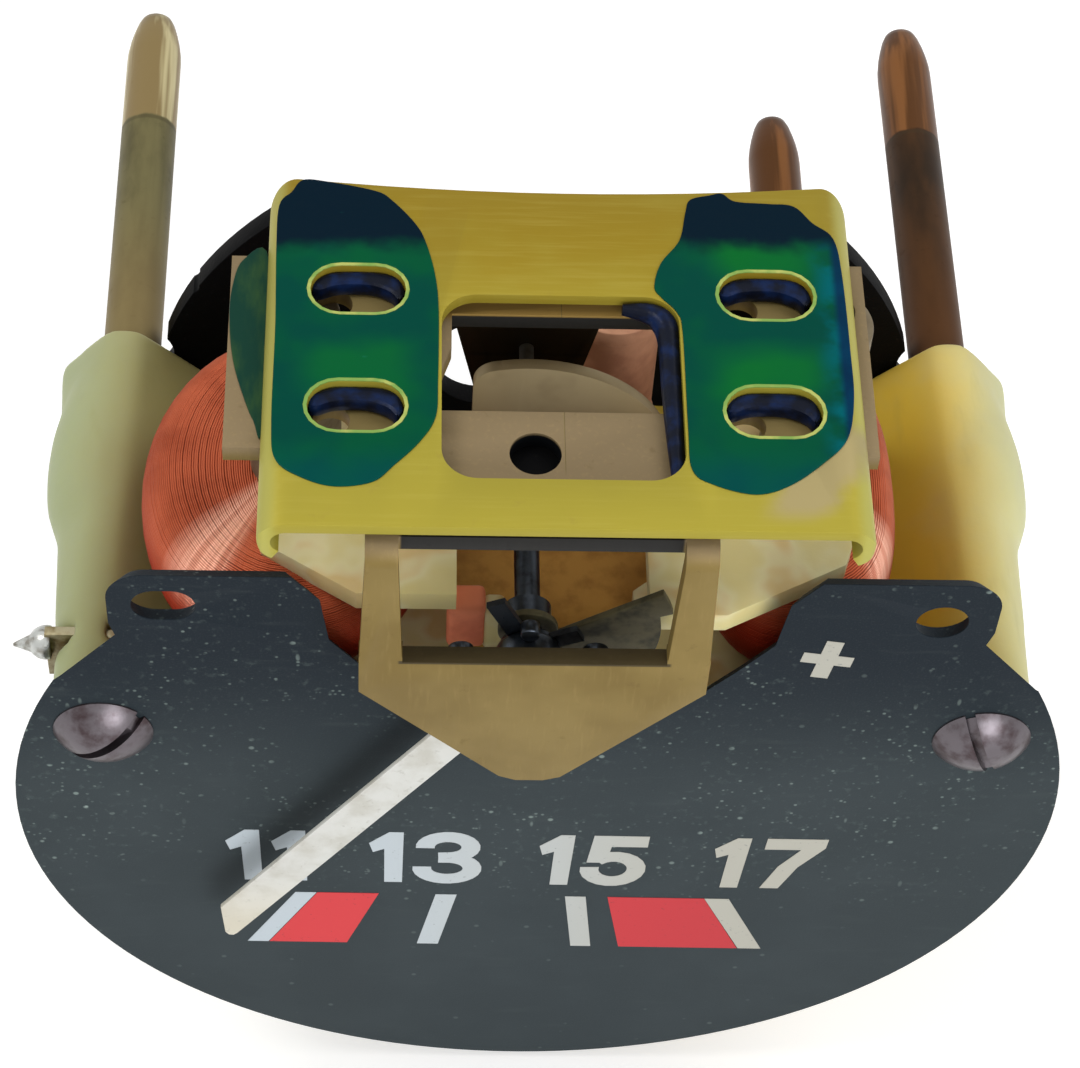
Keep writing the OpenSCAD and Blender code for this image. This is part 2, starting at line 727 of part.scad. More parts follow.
steps_per_loop = 24;
sides = 6;
wire_end = 0.3;

// Centre line of the outer layer, with a straight lead into each flange
function layer_path(x, w, d, power, draw) =
    let (first = wind_bottom + wire_end + wire_d / 2 + 0.03, last = wind_top - wire_end - wire_d / 2 - 0.03)
    let (n = loops * steps_per_loop)
    let (run = [for (i = [0:n])
        let (z = first + (last - first) * i / n)
        let (less = wire_d + 2 * belly(draw, z), turn = 360 * i / steps_per_loop + 200)
        let (p = oval(w - less, d - less, power, turn))
        [x + p.x, core_y + p.y, z]])
    concat([[run[0].x, run[0].y, wind_bottom + 0.02], [run[0].x, run[0].y, wind_bottom + wire_d]],
        run, [[run[n].x, run[n].y, wind_top - wire_d], [run[n].x, run[n].y, wind_top - 0.02]]);

function unit(v) = v / norm(v);

function tangent(path, i) = unit(path[min(i + 1, len(path) - 1)] - path[max(i - 1, 0)]);

// Rings of the swept wire; each ring starts on the side away from the coil's axis
function ring(path, i, x) =
    let (t = tangent(path, i))
    let (out = unit([path[i].x - x, path[i].y - core_y, 0]))
    let (u = unit(out - (out * t) * t))
    let (v = cross(t, u))
    [for (k = [0:sides - 1]) path[i] + wire_d / 2 * (cos(60 * k) * u + sin(60 * k) * v)];

// One unbroken wire swept along a path
module wire(path, x) {
    n = len(path);
    points = [for (i = [0:n - 1]) each ring(path, i, x)];
    walls = [for (i = [0:n - 2], k = [0:sides - 1])
        let (a = i * sides + k, b = i * sides + (k + 1) % sides)
        each [[a, a + sides, b], [b, a + sides, b + sides]]];
    caps = [for (k = [1:sides - 2]) each [[0, k, k + 1],
        [(n - 1) * sides, (n - 1) * sides + k + 1, (n - 1) * sides + k]]];
    polyhedron(points, concat(walls, caps));
}

// Least gap between neighbouring loops, measured on the path's points
function loop_gap(path) = min([for (i = [2:4:len(path) - 3], k = [-4:4])
    let (j = i + steps_per_loop + k)
    if (j < len(path) - 2) norm(path[i] - path[j])]) - wire_d;

left_layer = layer_path(left_x, wind_left_w, wind_left_d, 2, left_draw);
right_layer = layer_path(right_x, wind_right_w, wind_right_d, 2.6, right_draw);
echo(least_gap_left = loop_gap(left_layer), least_gap_right = loop_gap(right_layer));

module winding_left_turns() {
    color("#c87447") raise() wire(left_layer, left_x);
}

module winding_right_turns() {
    color("#c87447") raise() wire(right_layer, right_x);
}

// Iron core with a riveted spigot at each end
module iron_core(x) {
    raise() translate([x, core_y, 0]) {
        translate([0, 0, former_bottom]) cylinder(h = bracket_under - former_bottom, d = core_d);
        translate([0, 0, shelf_top]) cylinder(h = bracket_z - shelf_top, r = rivet_r);
    }
}

module iron_core_left() {
    color("#7d7568") iron_core(-core_x);
}

module iron_core_right() {
    color("#7d7568") iron_core(core_x);
}

module lower_yoke() {
    color("#8d7748") raise() difference() {
        translate([0, 10.2, shelf_top]) linear_extrude(yoke_t) rounded_rect(31.2, 13.2, 1);
        for (s = [-1, 1])
            translate([s * core_x, core_y, shelf_top - 1]) cylinder(h = yoke_t + 2, r = rivet_r + fit_play);
        for (y = yoke_screw_ys)
            translate([0, y, shelf_top - 1]) cylinder(h = yoke_t + 2, r = yoke_screw_r + fit_play);
    }
}

// Two screws that hold the yoke down on the shelf from below
module yoke_screws() {
    color("#8f8f8a") raise() for (y = yoke_screw_ys)
        translate([0, y, shelf_bottom]) {
            cylinder(h = shelf_t + yoke_t - 0.2, r = yoke_screw_r);
            difference() {
                translate([0, 0, -1.2]) cylinder(h = 1.2, r = 2);
                translate([-3, -0.3, -2]) cube([6, 0.6, 1.4]);
            }
        }
}

module spindle() {
    color("#45484c") raise() {
        bar(spindle_x, 0, spindle_front, spindle_back, spindle_d / 2);
        bar(spindle_x, 0, shield_back - 0.35, spindle_front + eps, pivot_d / 2);
        bar(spindle_x, 0, spindle_back - eps, bearing_screw_front + 1.2, pivot_d / 2);
    }
}

// Turns what hangs straight down to the pointer's rest angle
module at_rest() {
    raise() translate([spindle_x, 0, 0]) rotate([0, rest_angle, 0]) children();
}

module pointer() {
    color("#e6e4da") at_rest() slab(pointer_y, pointer_t) difference() {
        union() {
            circle(2);
            polygon([[-pointer_root_w / 2, 0], [-pointer_tip_w / 2, -pointer_len + 0.4],
                [-pointer_tip_w / 2 + 0.35, -pointer_len], [pointer_tip_w / 2 - 0.35, -pointer_len],
                [pointer_tip_w / 2, -pointer_len + 0.4], [pointer_root_w / 2, 0]]);
        }
        circle(spindle_d / 2 + fit_play);
    }
}

// Two pins on the shield's back, one at each end of the pointer's swing
module pointer_stops() {
    reach = 4.5;
    off_axis = pointer_root_w / 2 + stop_r;
    side = asin(off_axis / reach);
    color("#8d7748") raise() for (a = [rest_angle + side, rest_angle - swing - side])
        bar(spindle_x - reach * sin(a), -reach * cos(a), shield_back, hub_y + 0.3, stop_r);
}

module sleeve(y0, y1, r) {
    difference() {
        bar(0, 0, y0, y1, r);
        bar(0, 0, y0 - 1, y1 + 1, spindle_d / 2 + fit_play);
    }
}

module pointer_hub() {
    color("#a08a4a") at_rest() sleeve(hub_y, balance_y, 1.5);
}

// Cross arms behind the hub, with a weight near each end
module balance_arms() {
    color("#8d7748") at_rest() slab(balance_y, balance_t) difference() {
        union() {
            circle(1.3);
            rotate(-rest_angle) square([7.6, 0.9], center = true);
            rotate(-rest_angle) translate([-0.45, 0]) square([0.9, 2.6]);
        }
        circle(spindle_d / 2 + fit_play);
    }
}

module balance_weights() {
    color("#8f8f8a") at_rest() rotate([0, -rest_angle, 0]) {
        for (s = [-1, 1]) bar(s * 3.1, 0, balance_y - 0.7, balance_y, 0.65);
        bar(0, 2, balance_y - 0.7, balance_y, 0.45);
    }
}

// Fan-shaped blade to the right of the spindle, stepped in below to pass the right former
module damping_vane() {
    reach = 6.8;
    step_in = 0.65;
    color("#a08d60") raise() translate([spindle_x, 0, 0]) slab(damper_y, damper_t) difference() {
        union() {
            polygon(concat(
                [for (a = [-26:2:12]) (reach - step_in) * [cos(a), sin(a)]],
                [for (a = [13:2:27]) reach * [cos(a), sin(a)]],
                [[0.4, -0.9], [0.4, -2]]
            ));
            circle(1.4);
        }
        circle(spindle_d / 2 + fit_play);
    }
}

module vane_bush() {
    color("#a08a4a") raise() translate([spindle_x, 0, 0]) {
        sleeve(damper_y + damper_t, damper_y + damper_t + 1, 1.1);
        sleeve(iron_vane_y - 1.2, iron_vane_y, 1.3);
    }
}

// Soft-iron vane that the coils turn: a D-shaped blade with a curved rim and one straight side
module iron_vane() {
    left = -2.6;
    foot = -1.4;
    corner_r = 1.3;
    corner_z = vane_rim_r - 2.65;
    color("#8a7c58") raise() translate([spindle_x, 0, 0]) slab(iron_vane_y, vane_t) difference() {
        union() {
            intersection() {
                translate([0.06, -1.2]) circle(vane_rim_r, $fn = 96);
                union() {
                    translate([left + corner_r, foot]) square([12, 12]);
                    translate([left, foot]) square([3, corner_z - foot]);
                    translate([left + corner_r, corner_z]) circle(corner_r);
                }
            }
            circle(1.9);
        }
        circle(spindle_d / 2 + fit_play);
    }
}

spring_turns = 3;
spring_in = collet_r + 0.07;
spring_out = 2.65;
spring_wire_d = 0.12;
spring_y = collet_y + collet_len / 2;

// Flat spiral of three turns between the collet and the stud
module hairspring() {
    n = spring_turns * steps_per_loop;
    path = [for (i = [0:n])
        let (r = spring_in + (spring_out - spring_in) * i / n, a = 360 * i / steps_per_loop + 90)
        [spindle_x + r * cos(a), spring_y, r * sin(a)]];
    points = [for (i = [0:n], k = [0:sides - 1])
        let (out = unit([path[i].x - spindle_x, 0, path[i].z]))
        path[i] + spring_wire_d / 2 * (cos(60 * k) * out + 2 * sin(60 * k) * [0, 1, 0])];
    walls = [for (i = [0:n - 1], k = [0:sides - 1])
        let (a = i * sides + k, b = i * sides + (k + 1) % sides)
        each [[a, b, a + sides], [b, b + sides, a + sides]]];
    caps = [for (k = [1:sides - 2]) each [[0, k + 1, k], [n * sides, n * sides + k, n * sides + k + 1]]];
    color("#6f7a85") raise() polyhedron(points, concat(walls, caps));
}

echo(least_gap_spring = (spring_out - spring_in) / spring_turns - spring_wire_d);

module hairspring_collet() {
    color("#a08a4a") raise() translate([spindle_x, 0, 0]) sleeve(collet_y, collet_y + collet_len, collet_r);
}

// Stud on the tongue that holds the spring's outer end
module hairspring_stud() {
    color("#8f8f8a") raise() bar(spindle_x, spring_out + 0.45, spring_y - 0.3, tongue_front, 0.35);
}

module front_bearing() {
    color("#b08d4f") raise() difference() {
        bar(spindle_x, 0, shield_back - 0.5, shield_back, 1);
        bar(spindle_x, 0, shield_back - 0.4, shield_back + 1, pivot_d / 2 + pivot_play);
    }
}

module rear_bearing_screw() {
    color("#a08a4a") raise() difference() {
        bar(spindle_x, 0, bearing_screw_front, bearing_screw_back, bearing_screw_r);
        bar(spindle_x, 0, bearing_screw_front - 1, bearing_screw_front + 1.4, pivot_d / 2 + pivot_play);
        translate([spindle_x - 2, bearing_screw_back - 0.7, -0.25]) cube([4, 2, 0.5]);
    }
}

module rear_bearing_nut() {
    color("#8f8f8a") raise() difference() {
        translate([spindle_x, tongue_y, 0]) rotate([-90, 0, 0]) cylinder(h = 1.2, r = 2.3, $fn = 6);
        bar(spindle_x, 0, tongue_y - 1, tongue_y + 3, bearing_screw_r + fit_play);
    }
}

// Black disc across the towers' ends, with a flat top and a window behind the movement
module rear_plate() {
    color("#16171a") raise() difference() {
        slab(tower_end_y, rear_t) difference() {
            intersection() {
                translate([0, rear_z]) circle(rear_r, $fn = 128);
                translate([-30, rear_flat_z - 60]) square(60);
            }
            translate([0, rear_win_z]) rounded_rect(rear_win_w, rear_win_h, 2.5);
            for (s = [-1, 1]) {
                translate([s * pin_x, pin_z]) circle(pin_d / 2 + 0.7);
                translate([s * post_x, post_z]) circle(rear_screw_r + 0.1);
            }
            translate([low_pin_x, low_pin_z]) circle(pin_d / 2 + 0.7);
            translate([-18.05, -3.3]) circle(0.5);
        }
        for (s = [-1, 1]) countersink(s * post_x, post_z, 0.08);
    }
}

// Cone that widens to the plate's rear face, grown by play all round
module countersink(x, z, play) {
    translate([x, tower_end_y + rear_t - sink_h, z]) rotate([-90, 0, 0])
        cylinder(h = sink_h, r1 = rear_screw_r + play, r2 = rear_screw_r + sink_h + play);
}

// Two countersunk screws, flush with the plate
module rear_plate_screws() {
    color("#8f8f8a") raise() for (s = [-1, 1]) difference() {
        union() {
            bar(s * post_x, post_z, tower_end_y - 4.5, tower_end_y + rear_t - 0.05, rear_screw_r);
            translate([0, -0.05, 0]) countersink(s * post_x, post_z, 0);
        }
        translate([s * post_x - 3, tower_end_y + rear_t - 0.5, post_z - 0.3]) cube([6, 2, 0.6]);
    }
}

// Wire-wound resistor standing behind the right coil
module series_resistor() {
    color("#b78669") raise() translate([resistor_x, resistor_y, 0]) {
        translate([0, 0, resistor_foot]) cylinder(h = 9.7, r = resistor_r - 0.15);
        for (z = [resistor_foot, resistor_foot + 8.7])
            translate([0, 0, z]) cylinder(h = 1, r = resistor_r);
    }
}

module resistor_leads() {
    color("#a9a99c") raise() for (s = [-1, 1])
        translate([resistor_x + s * 1.2, resistor_y, shelf_top - 1.1])
            cylinder(h = resistor_foot - shelf_top + 1.1, r = 0.35);
}

dial_plate();
dial_screws();
frame_moulding();
terminal_pin_left();
terminal_pin_right();
terminal_pin_lower();
solder_tag();
solder_joint();
bearing_bracket();
calibration_plate();
coil_former_left();
coil_former_right();
winding_left();
winding_right();
winding_left_turns();
winding_right_turns();
iron_core_left();
iron_core_right();
lower_yoke();
yoke_screws();
spindle();
pointer();
pointer_stops();
pointer_hub();
balance_arms();
balance_weights();
damping_vane();
vane_bush();
iron_vane();
hairspring();
hairspring_collet();
hairspring_stud();
front_bearing();
rear_bearing_screw();
rear_bearing_nut();
rear_plate();
rear_plate_screws();
series_resistor();
resistor_leads();
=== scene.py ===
"""Finish of a car voltmeter's movement, built around its CAD frame.

The frame holds the dial, the moulding with its towers, the bent bracket, the coils and
the moving parts. This script rounds their edges, winds the coils with fine wire, prints
the scale, paints the lacquer patches and gives every surface its material.
Sizes are in millimetres from the dial's front face (Y) and the spindle's height (Z).
"""

import json
import math
import random

import bmesh
import bpy
from mathutils import Matrix, Vector


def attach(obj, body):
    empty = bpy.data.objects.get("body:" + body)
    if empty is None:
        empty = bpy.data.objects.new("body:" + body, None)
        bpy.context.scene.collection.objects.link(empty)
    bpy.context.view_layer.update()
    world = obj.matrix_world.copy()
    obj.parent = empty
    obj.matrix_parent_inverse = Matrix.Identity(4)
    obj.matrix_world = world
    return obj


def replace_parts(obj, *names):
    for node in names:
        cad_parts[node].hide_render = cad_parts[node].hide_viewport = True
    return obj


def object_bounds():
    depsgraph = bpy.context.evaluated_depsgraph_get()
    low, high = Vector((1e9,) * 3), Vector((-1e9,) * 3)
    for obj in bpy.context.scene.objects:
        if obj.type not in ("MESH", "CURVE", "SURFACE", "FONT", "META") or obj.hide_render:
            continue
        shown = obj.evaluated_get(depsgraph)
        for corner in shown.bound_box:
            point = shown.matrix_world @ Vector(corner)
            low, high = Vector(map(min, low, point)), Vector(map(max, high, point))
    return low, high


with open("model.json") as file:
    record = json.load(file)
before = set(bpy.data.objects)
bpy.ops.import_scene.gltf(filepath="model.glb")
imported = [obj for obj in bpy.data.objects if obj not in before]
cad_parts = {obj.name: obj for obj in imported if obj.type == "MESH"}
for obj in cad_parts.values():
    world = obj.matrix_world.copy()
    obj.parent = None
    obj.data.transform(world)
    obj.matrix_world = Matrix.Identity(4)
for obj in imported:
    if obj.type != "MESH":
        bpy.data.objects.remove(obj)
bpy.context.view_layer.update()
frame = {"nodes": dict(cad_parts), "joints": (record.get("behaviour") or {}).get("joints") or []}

MM = 0.001
FIXED = "movement_frame"
MOVING = "pointer_movement"
PIVOT = Vector(frame["joints"][0]["pos_m"])
LIFT = PIVOT.z / MM


def at(x, y, z):
    """A point in metres from millimetres, with z counted from the spindle."""
    return Vector((x, y, z + LIFT)) * MM


def srgb(*levels):
    """A linear colour from the three 0 to 255 levels that a picture editor shows."""
    linear = [((v / 255 + 0.055) / 1.055) ** 2.4 if v > 10 else v / 255 / 12.92 for v in levels]
    return (*linear, 1.0)


# Places on the CAD model that finishes and pieces share, in millimetres

SHEET_T = 0.9
BRACKET_TOP = 10.9
PLATE_TOP = 12.1
SIGHT_HOLE = (-1.3, 2.0)
WINDOW_X = -1.05
SCREWS = [(-21.26, -8.65), (21.26, -8.65)]
EAR_HOLES = [(-17.9, 1.8), (17.9, 1.2)]
SLOT_LEN, SLOT_W = 4.3, 2.75
SLOT_X = 9.2
SLOTS = {"left": [(-SLOT_X, 10.27), (-SLOT_X, 3.57)], "right": [(SLOT_X, 10.27), (SLOT_X, 3.57)]}
COIL_Y = 10.5
LEFT_COIL_X, RIGHT_COIL_X = 12.45, 12.15
REST_TURN = math.radians(32.4)


# Camera, at the photograph's place: focal length in pixels of the 1080 x 1068 picture

IMAGE_W = 1080
FOCAL_PX = 3195.6
SENSOR_MM = 36.0
CAMERA_AT = at(-7.61, -83.84, 121.35)
YAW, PITCH, ROLL = (math.radians(v) for v in (4.51, 53.5, -4.41))


def make_camera():
    """Camera that looks down at the dial from the front, a little rolled."""
    ahead = Vector((math.sin(YAW) * math.cos(PITCH), math.cos(YAW) * math.cos(PITCH), -math.sin(PITCH)))
    level = Vector((math.cos(YAW), -math.sin(YAW), 0))
    down = ahead.cross(level)
    right = level * math.cos(ROLL) + down * math.sin(ROLL)
    below = down * math.cos(ROLL) - level * math.sin(ROLL)
    data = bpy.data.cameras.new("camera")
    data.sensor_width = SENSOR_MM
    data.lens = SENSOR_MM * FOCAL_PX / IMAGE_W
    data.clip_start = 0.01
    camera = bpy.data.objects.new("camera", data)
    turn = Matrix((right, -below, -ahead)).transposed()
    camera.matrix_world = Matrix.Translation(CAMERA_AT) @ turn.to_4x4()
    bpy.context.scene.collection.objects.link(camera)
    bpy.context.scene.camera = camera


make_camera()


# Shader maths: a socket that can be used in Python expressions


class Value:
    """A shader socket; arithmetic on it adds Math nodes."""

    def __init__(self, finish, socket):
        self.finish = finish
        self.socket = socket

    def maths(self, operation, *values):
        return self.finish.node("ShaderNodeMath", {"operation": operation}, *values)

    def __add__(self, other):
        return self.maths("ADD", self, other)

    def __sub__(self, other):
        return self.maths("SUBTRACT", self, other)

    def __mul__(self, other):
        return self.maths("MULTIPLY", self, other)

    def __rsub__(self, other):
        return self.maths("SUBTRACT", other, self)

    def __abs__(self):
        return self.maths("ABSOLUTE", self)

    def at_most(self, other):
        return self.maths("MINIMUM", self, other)

    __radd__ = __add__
    __rmul__ = __mul__


class Finish:
    """One material: its Principled shader and the nodes that vary it."""

    def __init__(self, name, colour, roughness, metallic=0.0, **constants):
        self.material = bpy.data.materials.new(name)
        self.material.use_nodes = True
        self.tree = self.material.node_tree
        self.shader = self.tree.nodes["Principled BSDF"]
        self.set("Base Color", colour)
        self.set("Roughness", roughness)
        self.set("Metallic", metallic)
        self.set("Specular IOR Level", 0.15)
        for socket, value in constants.items():
            self.shader.inputs[socket.replace("_", " ")].default_value = value

    def node(self, kind, settings, *values, output=0, **named):
        """Adds a node: its settings first, then the values or links of its sockets."""
        node = self.tree.nodes.new(kind)
        for key, value in settings.items():
            setattr(node, key, value)
        for index, value in enumerate(values):
            self.join(node.inputs[index], value)
        for name, value in named.items():
            self.join(node.inputs[name.replace("_", " ")], value)
        return Value(self, node.outputs[output])

    def join(self, socket, value):
        if isinstance(value, Value):
            self.tree.links.new(value.socket, socket)
        elif value is not None:
            socket.default_value = value

    def set(self, socket, value):
        """Sets one of the shader's sockets to a value or a link."""
        self.join(self.shader.inputs[socket], value)
        return self

    def place(self, stretch=(1, 1, 1), turn=(0, 0, 0)):
        """Object coordinates in millimetres, turned and stretched."""
        coords = self.node("ShaderNodeTexCoord", {}, output=3)
        scale = tuple(share / MM for share in stretch)
        return self.node("ShaderNodeMapping", {}, coords, Scale=scale, Rotation=turn)

    def axis(self, which):
        """One coordinate of the surface in millimetres."""
        return self.node("ShaderNodeSeparateXYZ", {}, self.place(), output="XYZ".index(which))

    def noise(self, scale, detail=3.0, roughness=0.55, stretch=(1, 1, 1), turn=(0, 0, 0)):
        """Noise of a number of blotches per millimetre, around 0.5."""
        where = self.place(stretch, turn)
        return self.node("ShaderNodeTexNoise", {}, where, Scale=scale, Detail=detail, Roughness=roughness)

    def cells(self, scale, stretch=(1, 1, 1)):
        """Distance to the nearest of scattered points, so many per millimetre."""
        return self.node("ShaderNodeTexVoronoi", {}, self.place(stretch), Scale=scale)

    def step(self, value, low, high):
        """0 below low, 1 above high, and smooth between."""
        smooth = {"interpolation_type": "SMOOTHSTEP"}
        return self.node("ShaderNodeMapRange", smooth, value, low, high, 0.0, 1.0)

    def fall(self, value, low, high):
        """1 below low, 0 above high, and smooth between."""
        return 1 - self.step(value, low, high)

    def mix(self, share, first, second):
        """A colour between two."""
        node = self.tree.nodes.new("ShaderNodeMix")
        node.data_type = "RGBA"
        sockets = [s for s in node.inputs if s.enabled]
        for socket, value in zip(sockets, (share, first, second)):
            self.join(socket, value)
        return Value(self, next(s for s in node.outputs if s.enabled))

    def bump(self, height, depth, strength=1.0):
        """Relief of that depth in millimetres on the shader's Normal."""
        normal = self.node("ShaderNodeBump", {}, Strength=strength, Distance=depth * MM, Height=height)
        return self.set("Normal", normal)


# Materials


def dial_paint():
    """Matt charcoal paint with a fine grain, faint wiping marks and pale dust, and a painted bluish
    reflection that darkens its upper part.
    """
    f = Finish("dial paint", srgb(44, 52, 56), 0.62, Specular_IOR_Level=0.1)
    cloud = f.noise(0.12, 4)
    grain = f.noise(9, 2)
    wiped = f.noise(0.8, 3, stretch=(0.25, 1, 1.4), turn=(0, 0.5, 0))
    # Painted reflection: darker and bluer towards the top.
    upper = f.step(f.axis("Z"), LIFT - 15, LIFT - 1)
    base = f.mix(f.step(cloud, 0.35, 0.7), srgb(54, 62, 65), srgb(60, 68, 71))
    base = f.mix(upper * 0.85, base, srgb(20, 29, 38))
    base = f.mix(f.step(wiped, 0.56, 0.8) * 0.25, base, srgb(72, 80, 80))
    base = f.mix(f.step(grain, 0.5, 0.85) * 0.3, base, srgb(70, 78, 80))
    crowd = f.step(f.noise(0.1, 2), 0.38, 0.56) * f.step(f.axis("Z"), LIFT - 27, LIFT - 17)
    specks = f.fall(f.cells(2.2), 0.1, 0.26) * f.step(f.noise(0.9, 2), 0.45, 0.58) * crowd
    crumbs = f.fall(f.cells(0.75), 0.06, 0.14) * f.step(f.noise(0.5, 2), 0.46, 0.56)
    crumbs = crumbs * (0.25 + crowd).at_most(1)
    fibres = f.fall(f.cells(0.9, stretch=(1, 1, 0.35)), 0.05, 0.12) * f.step(f.noise(0.35, 2), 0.48, 0.6)
    haze = f.step(f.noise(1.8, 4), 0.55, 0.75) * crowd
    base = f.mix(haze * 0.22, base, srgb(110, 124, 120))
    dust = (specks * 0.42 + crumbs * 0.6 + fibres * crowd * 0.4).at_most(1)
    f.set("Base Color", f.mix(dust, base, srgb(150, 166, 160)))
    f.set("Roughness", 0.58 + 0.2 * cloud + 0.2 * dust)
    return f.bump(grain * 0.5 + dust, 0.03, 0.5)


def print_ink(name, colour, worn, aged):
    """Flat printing ink, worn through in specks and yellowed towards the right."""
    f = Finish(name, colour, 0.6)
    flecks = f.step(f.noise(3.2, 3), 0.62, 0.7) * f.step(f.noise(0.4, 2), 0.45, 0.6)
    pits = f.fall(f.cells(1.7), 0.04, 0.1)
    base = f.mix(f.step(f.axis("X"), -12, 12), colour, aged)
    f.set("Base Color", f.mix((flecks * 0.5 + pits * 0.5).at_most(1), base, worn))
    return f.bump(f.noise(6, 2), 0.01, 0.4)


def pointer_paint():
    """Cream-white paint, blotched, greyed in spots and warmer towards its tip."""
    f = Finish("pointer paint", srgb(204, 202, 190), 0.55)
    smear = f.noise(0.5, 4)
    spots = f.step(f.noise(2.6, 3), 0.6, 0.72)
    base = f.mix(f.step(smear, 0.4, 0.7), srgb(218, 218, 212), srgb(200, 198, 188))
    foot = f.fall(f.axis("Z"), LIFT - 24, LIFT - 17)
    base = f.mix(foot * 0.7, base, srgb(222, 214, 192))
    f.set("Base Color", f.mix(spots * 0.3, base, srgb(160, 156, 142)))
    return f.bump(f.noise(5, 2), 0.015, 0.5)


def nylon():
    """Aged translucent nylon, amber on the side by the right coil and green-grey on the left, paler towards
    the outer sides: partly its own tone, partly a painted highlight of the lit outer slopes.
    """
    f = Finish(
        "frame nylon", srgb(190, 188, 130), 0.45,
        Subsurface_Weight=0.25, Subsurface_Scale=0.001, Subsurface_Radius=(1.0, 0.85, 0.35),
    )
    x = f.axis("X")
    blotch = f.noise(0.16, 3)
    # Paler towards the outer sides: partly the nylon's own tone, partly a painted highlight where the
    # towers' outer slopes catch the light.
    out = f.step(abs(x) + 1.6 * (blotch - 0.5), 19.0, 25.4)
    left = f.mix(out, srgb(168, 160, 104), srgb(178, 188, 146))
    right = f.mix(out, srgb(222, 188, 66), srgb(214, 214, 166))
    base = f.mix(f.step(x, -19.0, 17.0), left, right)
    base = f.mix(f.step(blotch, 0.5, 0.8) * 0.25, base, srgb(190, 184, 140))
    streak = f.noise(0.7, 3, stretch=(1, 0.25, 1))
    base = f.mix(f.step(streak, 0.56, 0.78) * 0.15, base, srgb(150, 140, 84))
    f.set("Base Color", base)
    f.set("Roughness", 0.4 + 0.2 * blotch)
    return f.bump(streak * 0.5 + f.noise(1.4, 3) * 0.5, 0.06, 0.5)


def former_nylon():
    """Cream nylon of the coil formers, ambered in patches by warmth."""
    f = Finish(
        "former nylon", srgb(196, 180, 128), 0.45,
        Subsurface_Weight=0.2, Subsurface_Scale=0.0008, Subsurface_Radius=(1.0, 0.75, 0.4),
    )
    blotch = f.noise(0.3, 2)
    stain = f.step(f.noise(0.3, 2), 0.47, 0.6)
    base = f.mix(f.step(blotch, 0.35, 0.65), srgb(222, 208, 146), srgb(238, 232, 194))
    f.set("Base Color", f.mix(stain * 0.6, base, srgb(212, 168, 78)))
    f.set("Roughness", 0.4 + 0.2 * blotch)
    return f.bump(f.noise(1.6, 3), 0.04, 0.5)


def chromate():
    """Yellow chromate on steel: fine drawn lines, browner to the rear, worn at a corner, and a painted
    highlight along its rolled sides.
    """
    f = Finish("yellow chromate", srgb(178, 160, 58), 0.48, 0.25)
    x, y = f.axis("X"), f.axis("Y")
    drawn = f.noise(5.0, 4, stretch=(0.05, 1, 1))
    drift = f.noise(0.16, 3)
    rear = f.step(y + 3.0 * (drift - 0.5), 6.0, 13.0)
    base = f.mix(rear, srgb(166, 153, 54), srgb(150, 126, 30))
    base = f.mix(f.step(drift, 0.4, 0.7) * 0.4, base, srgb(158, 146, 54))
    base = f.mix(f.step(drawn, 0.45, 0.75) * 0.16, base, srgb(190, 176, 88))
    # Painted highlight along the plate's rolled side edges.
    base = f.mix(f.step(abs(x), 12.3, 13.0) * 0.6, base, srgb(190, 188, 104))
    across = abs(x - 10.5 - 0.7 * (y + 0.6)) + 1.8 * (f.noise(0.7, 4) - 0.5)
    bare = f.fall(across, 0.8, 2.2) * f.fall(abs(y - 0.4), 1.9, 3.2) * f.step(x, 7.8, 9.6)
    rub = f.step(f.noise(0.7, 5, 0.7), 0.62, 0.76)
    base = f.mix(rub * 0.2, base, srgb(150, 128, 70))
    f.set("Base Color", f.mix(bare * 0.8, base, srgb(166, 150, 112)))
    f.set("Roughness", 0.44 + 0.14 * drawn + 0.1 * rub)
    return f.bump(drawn * 0.7 + f.noise(6, 2) * 0.3, 0.01, 0.5)


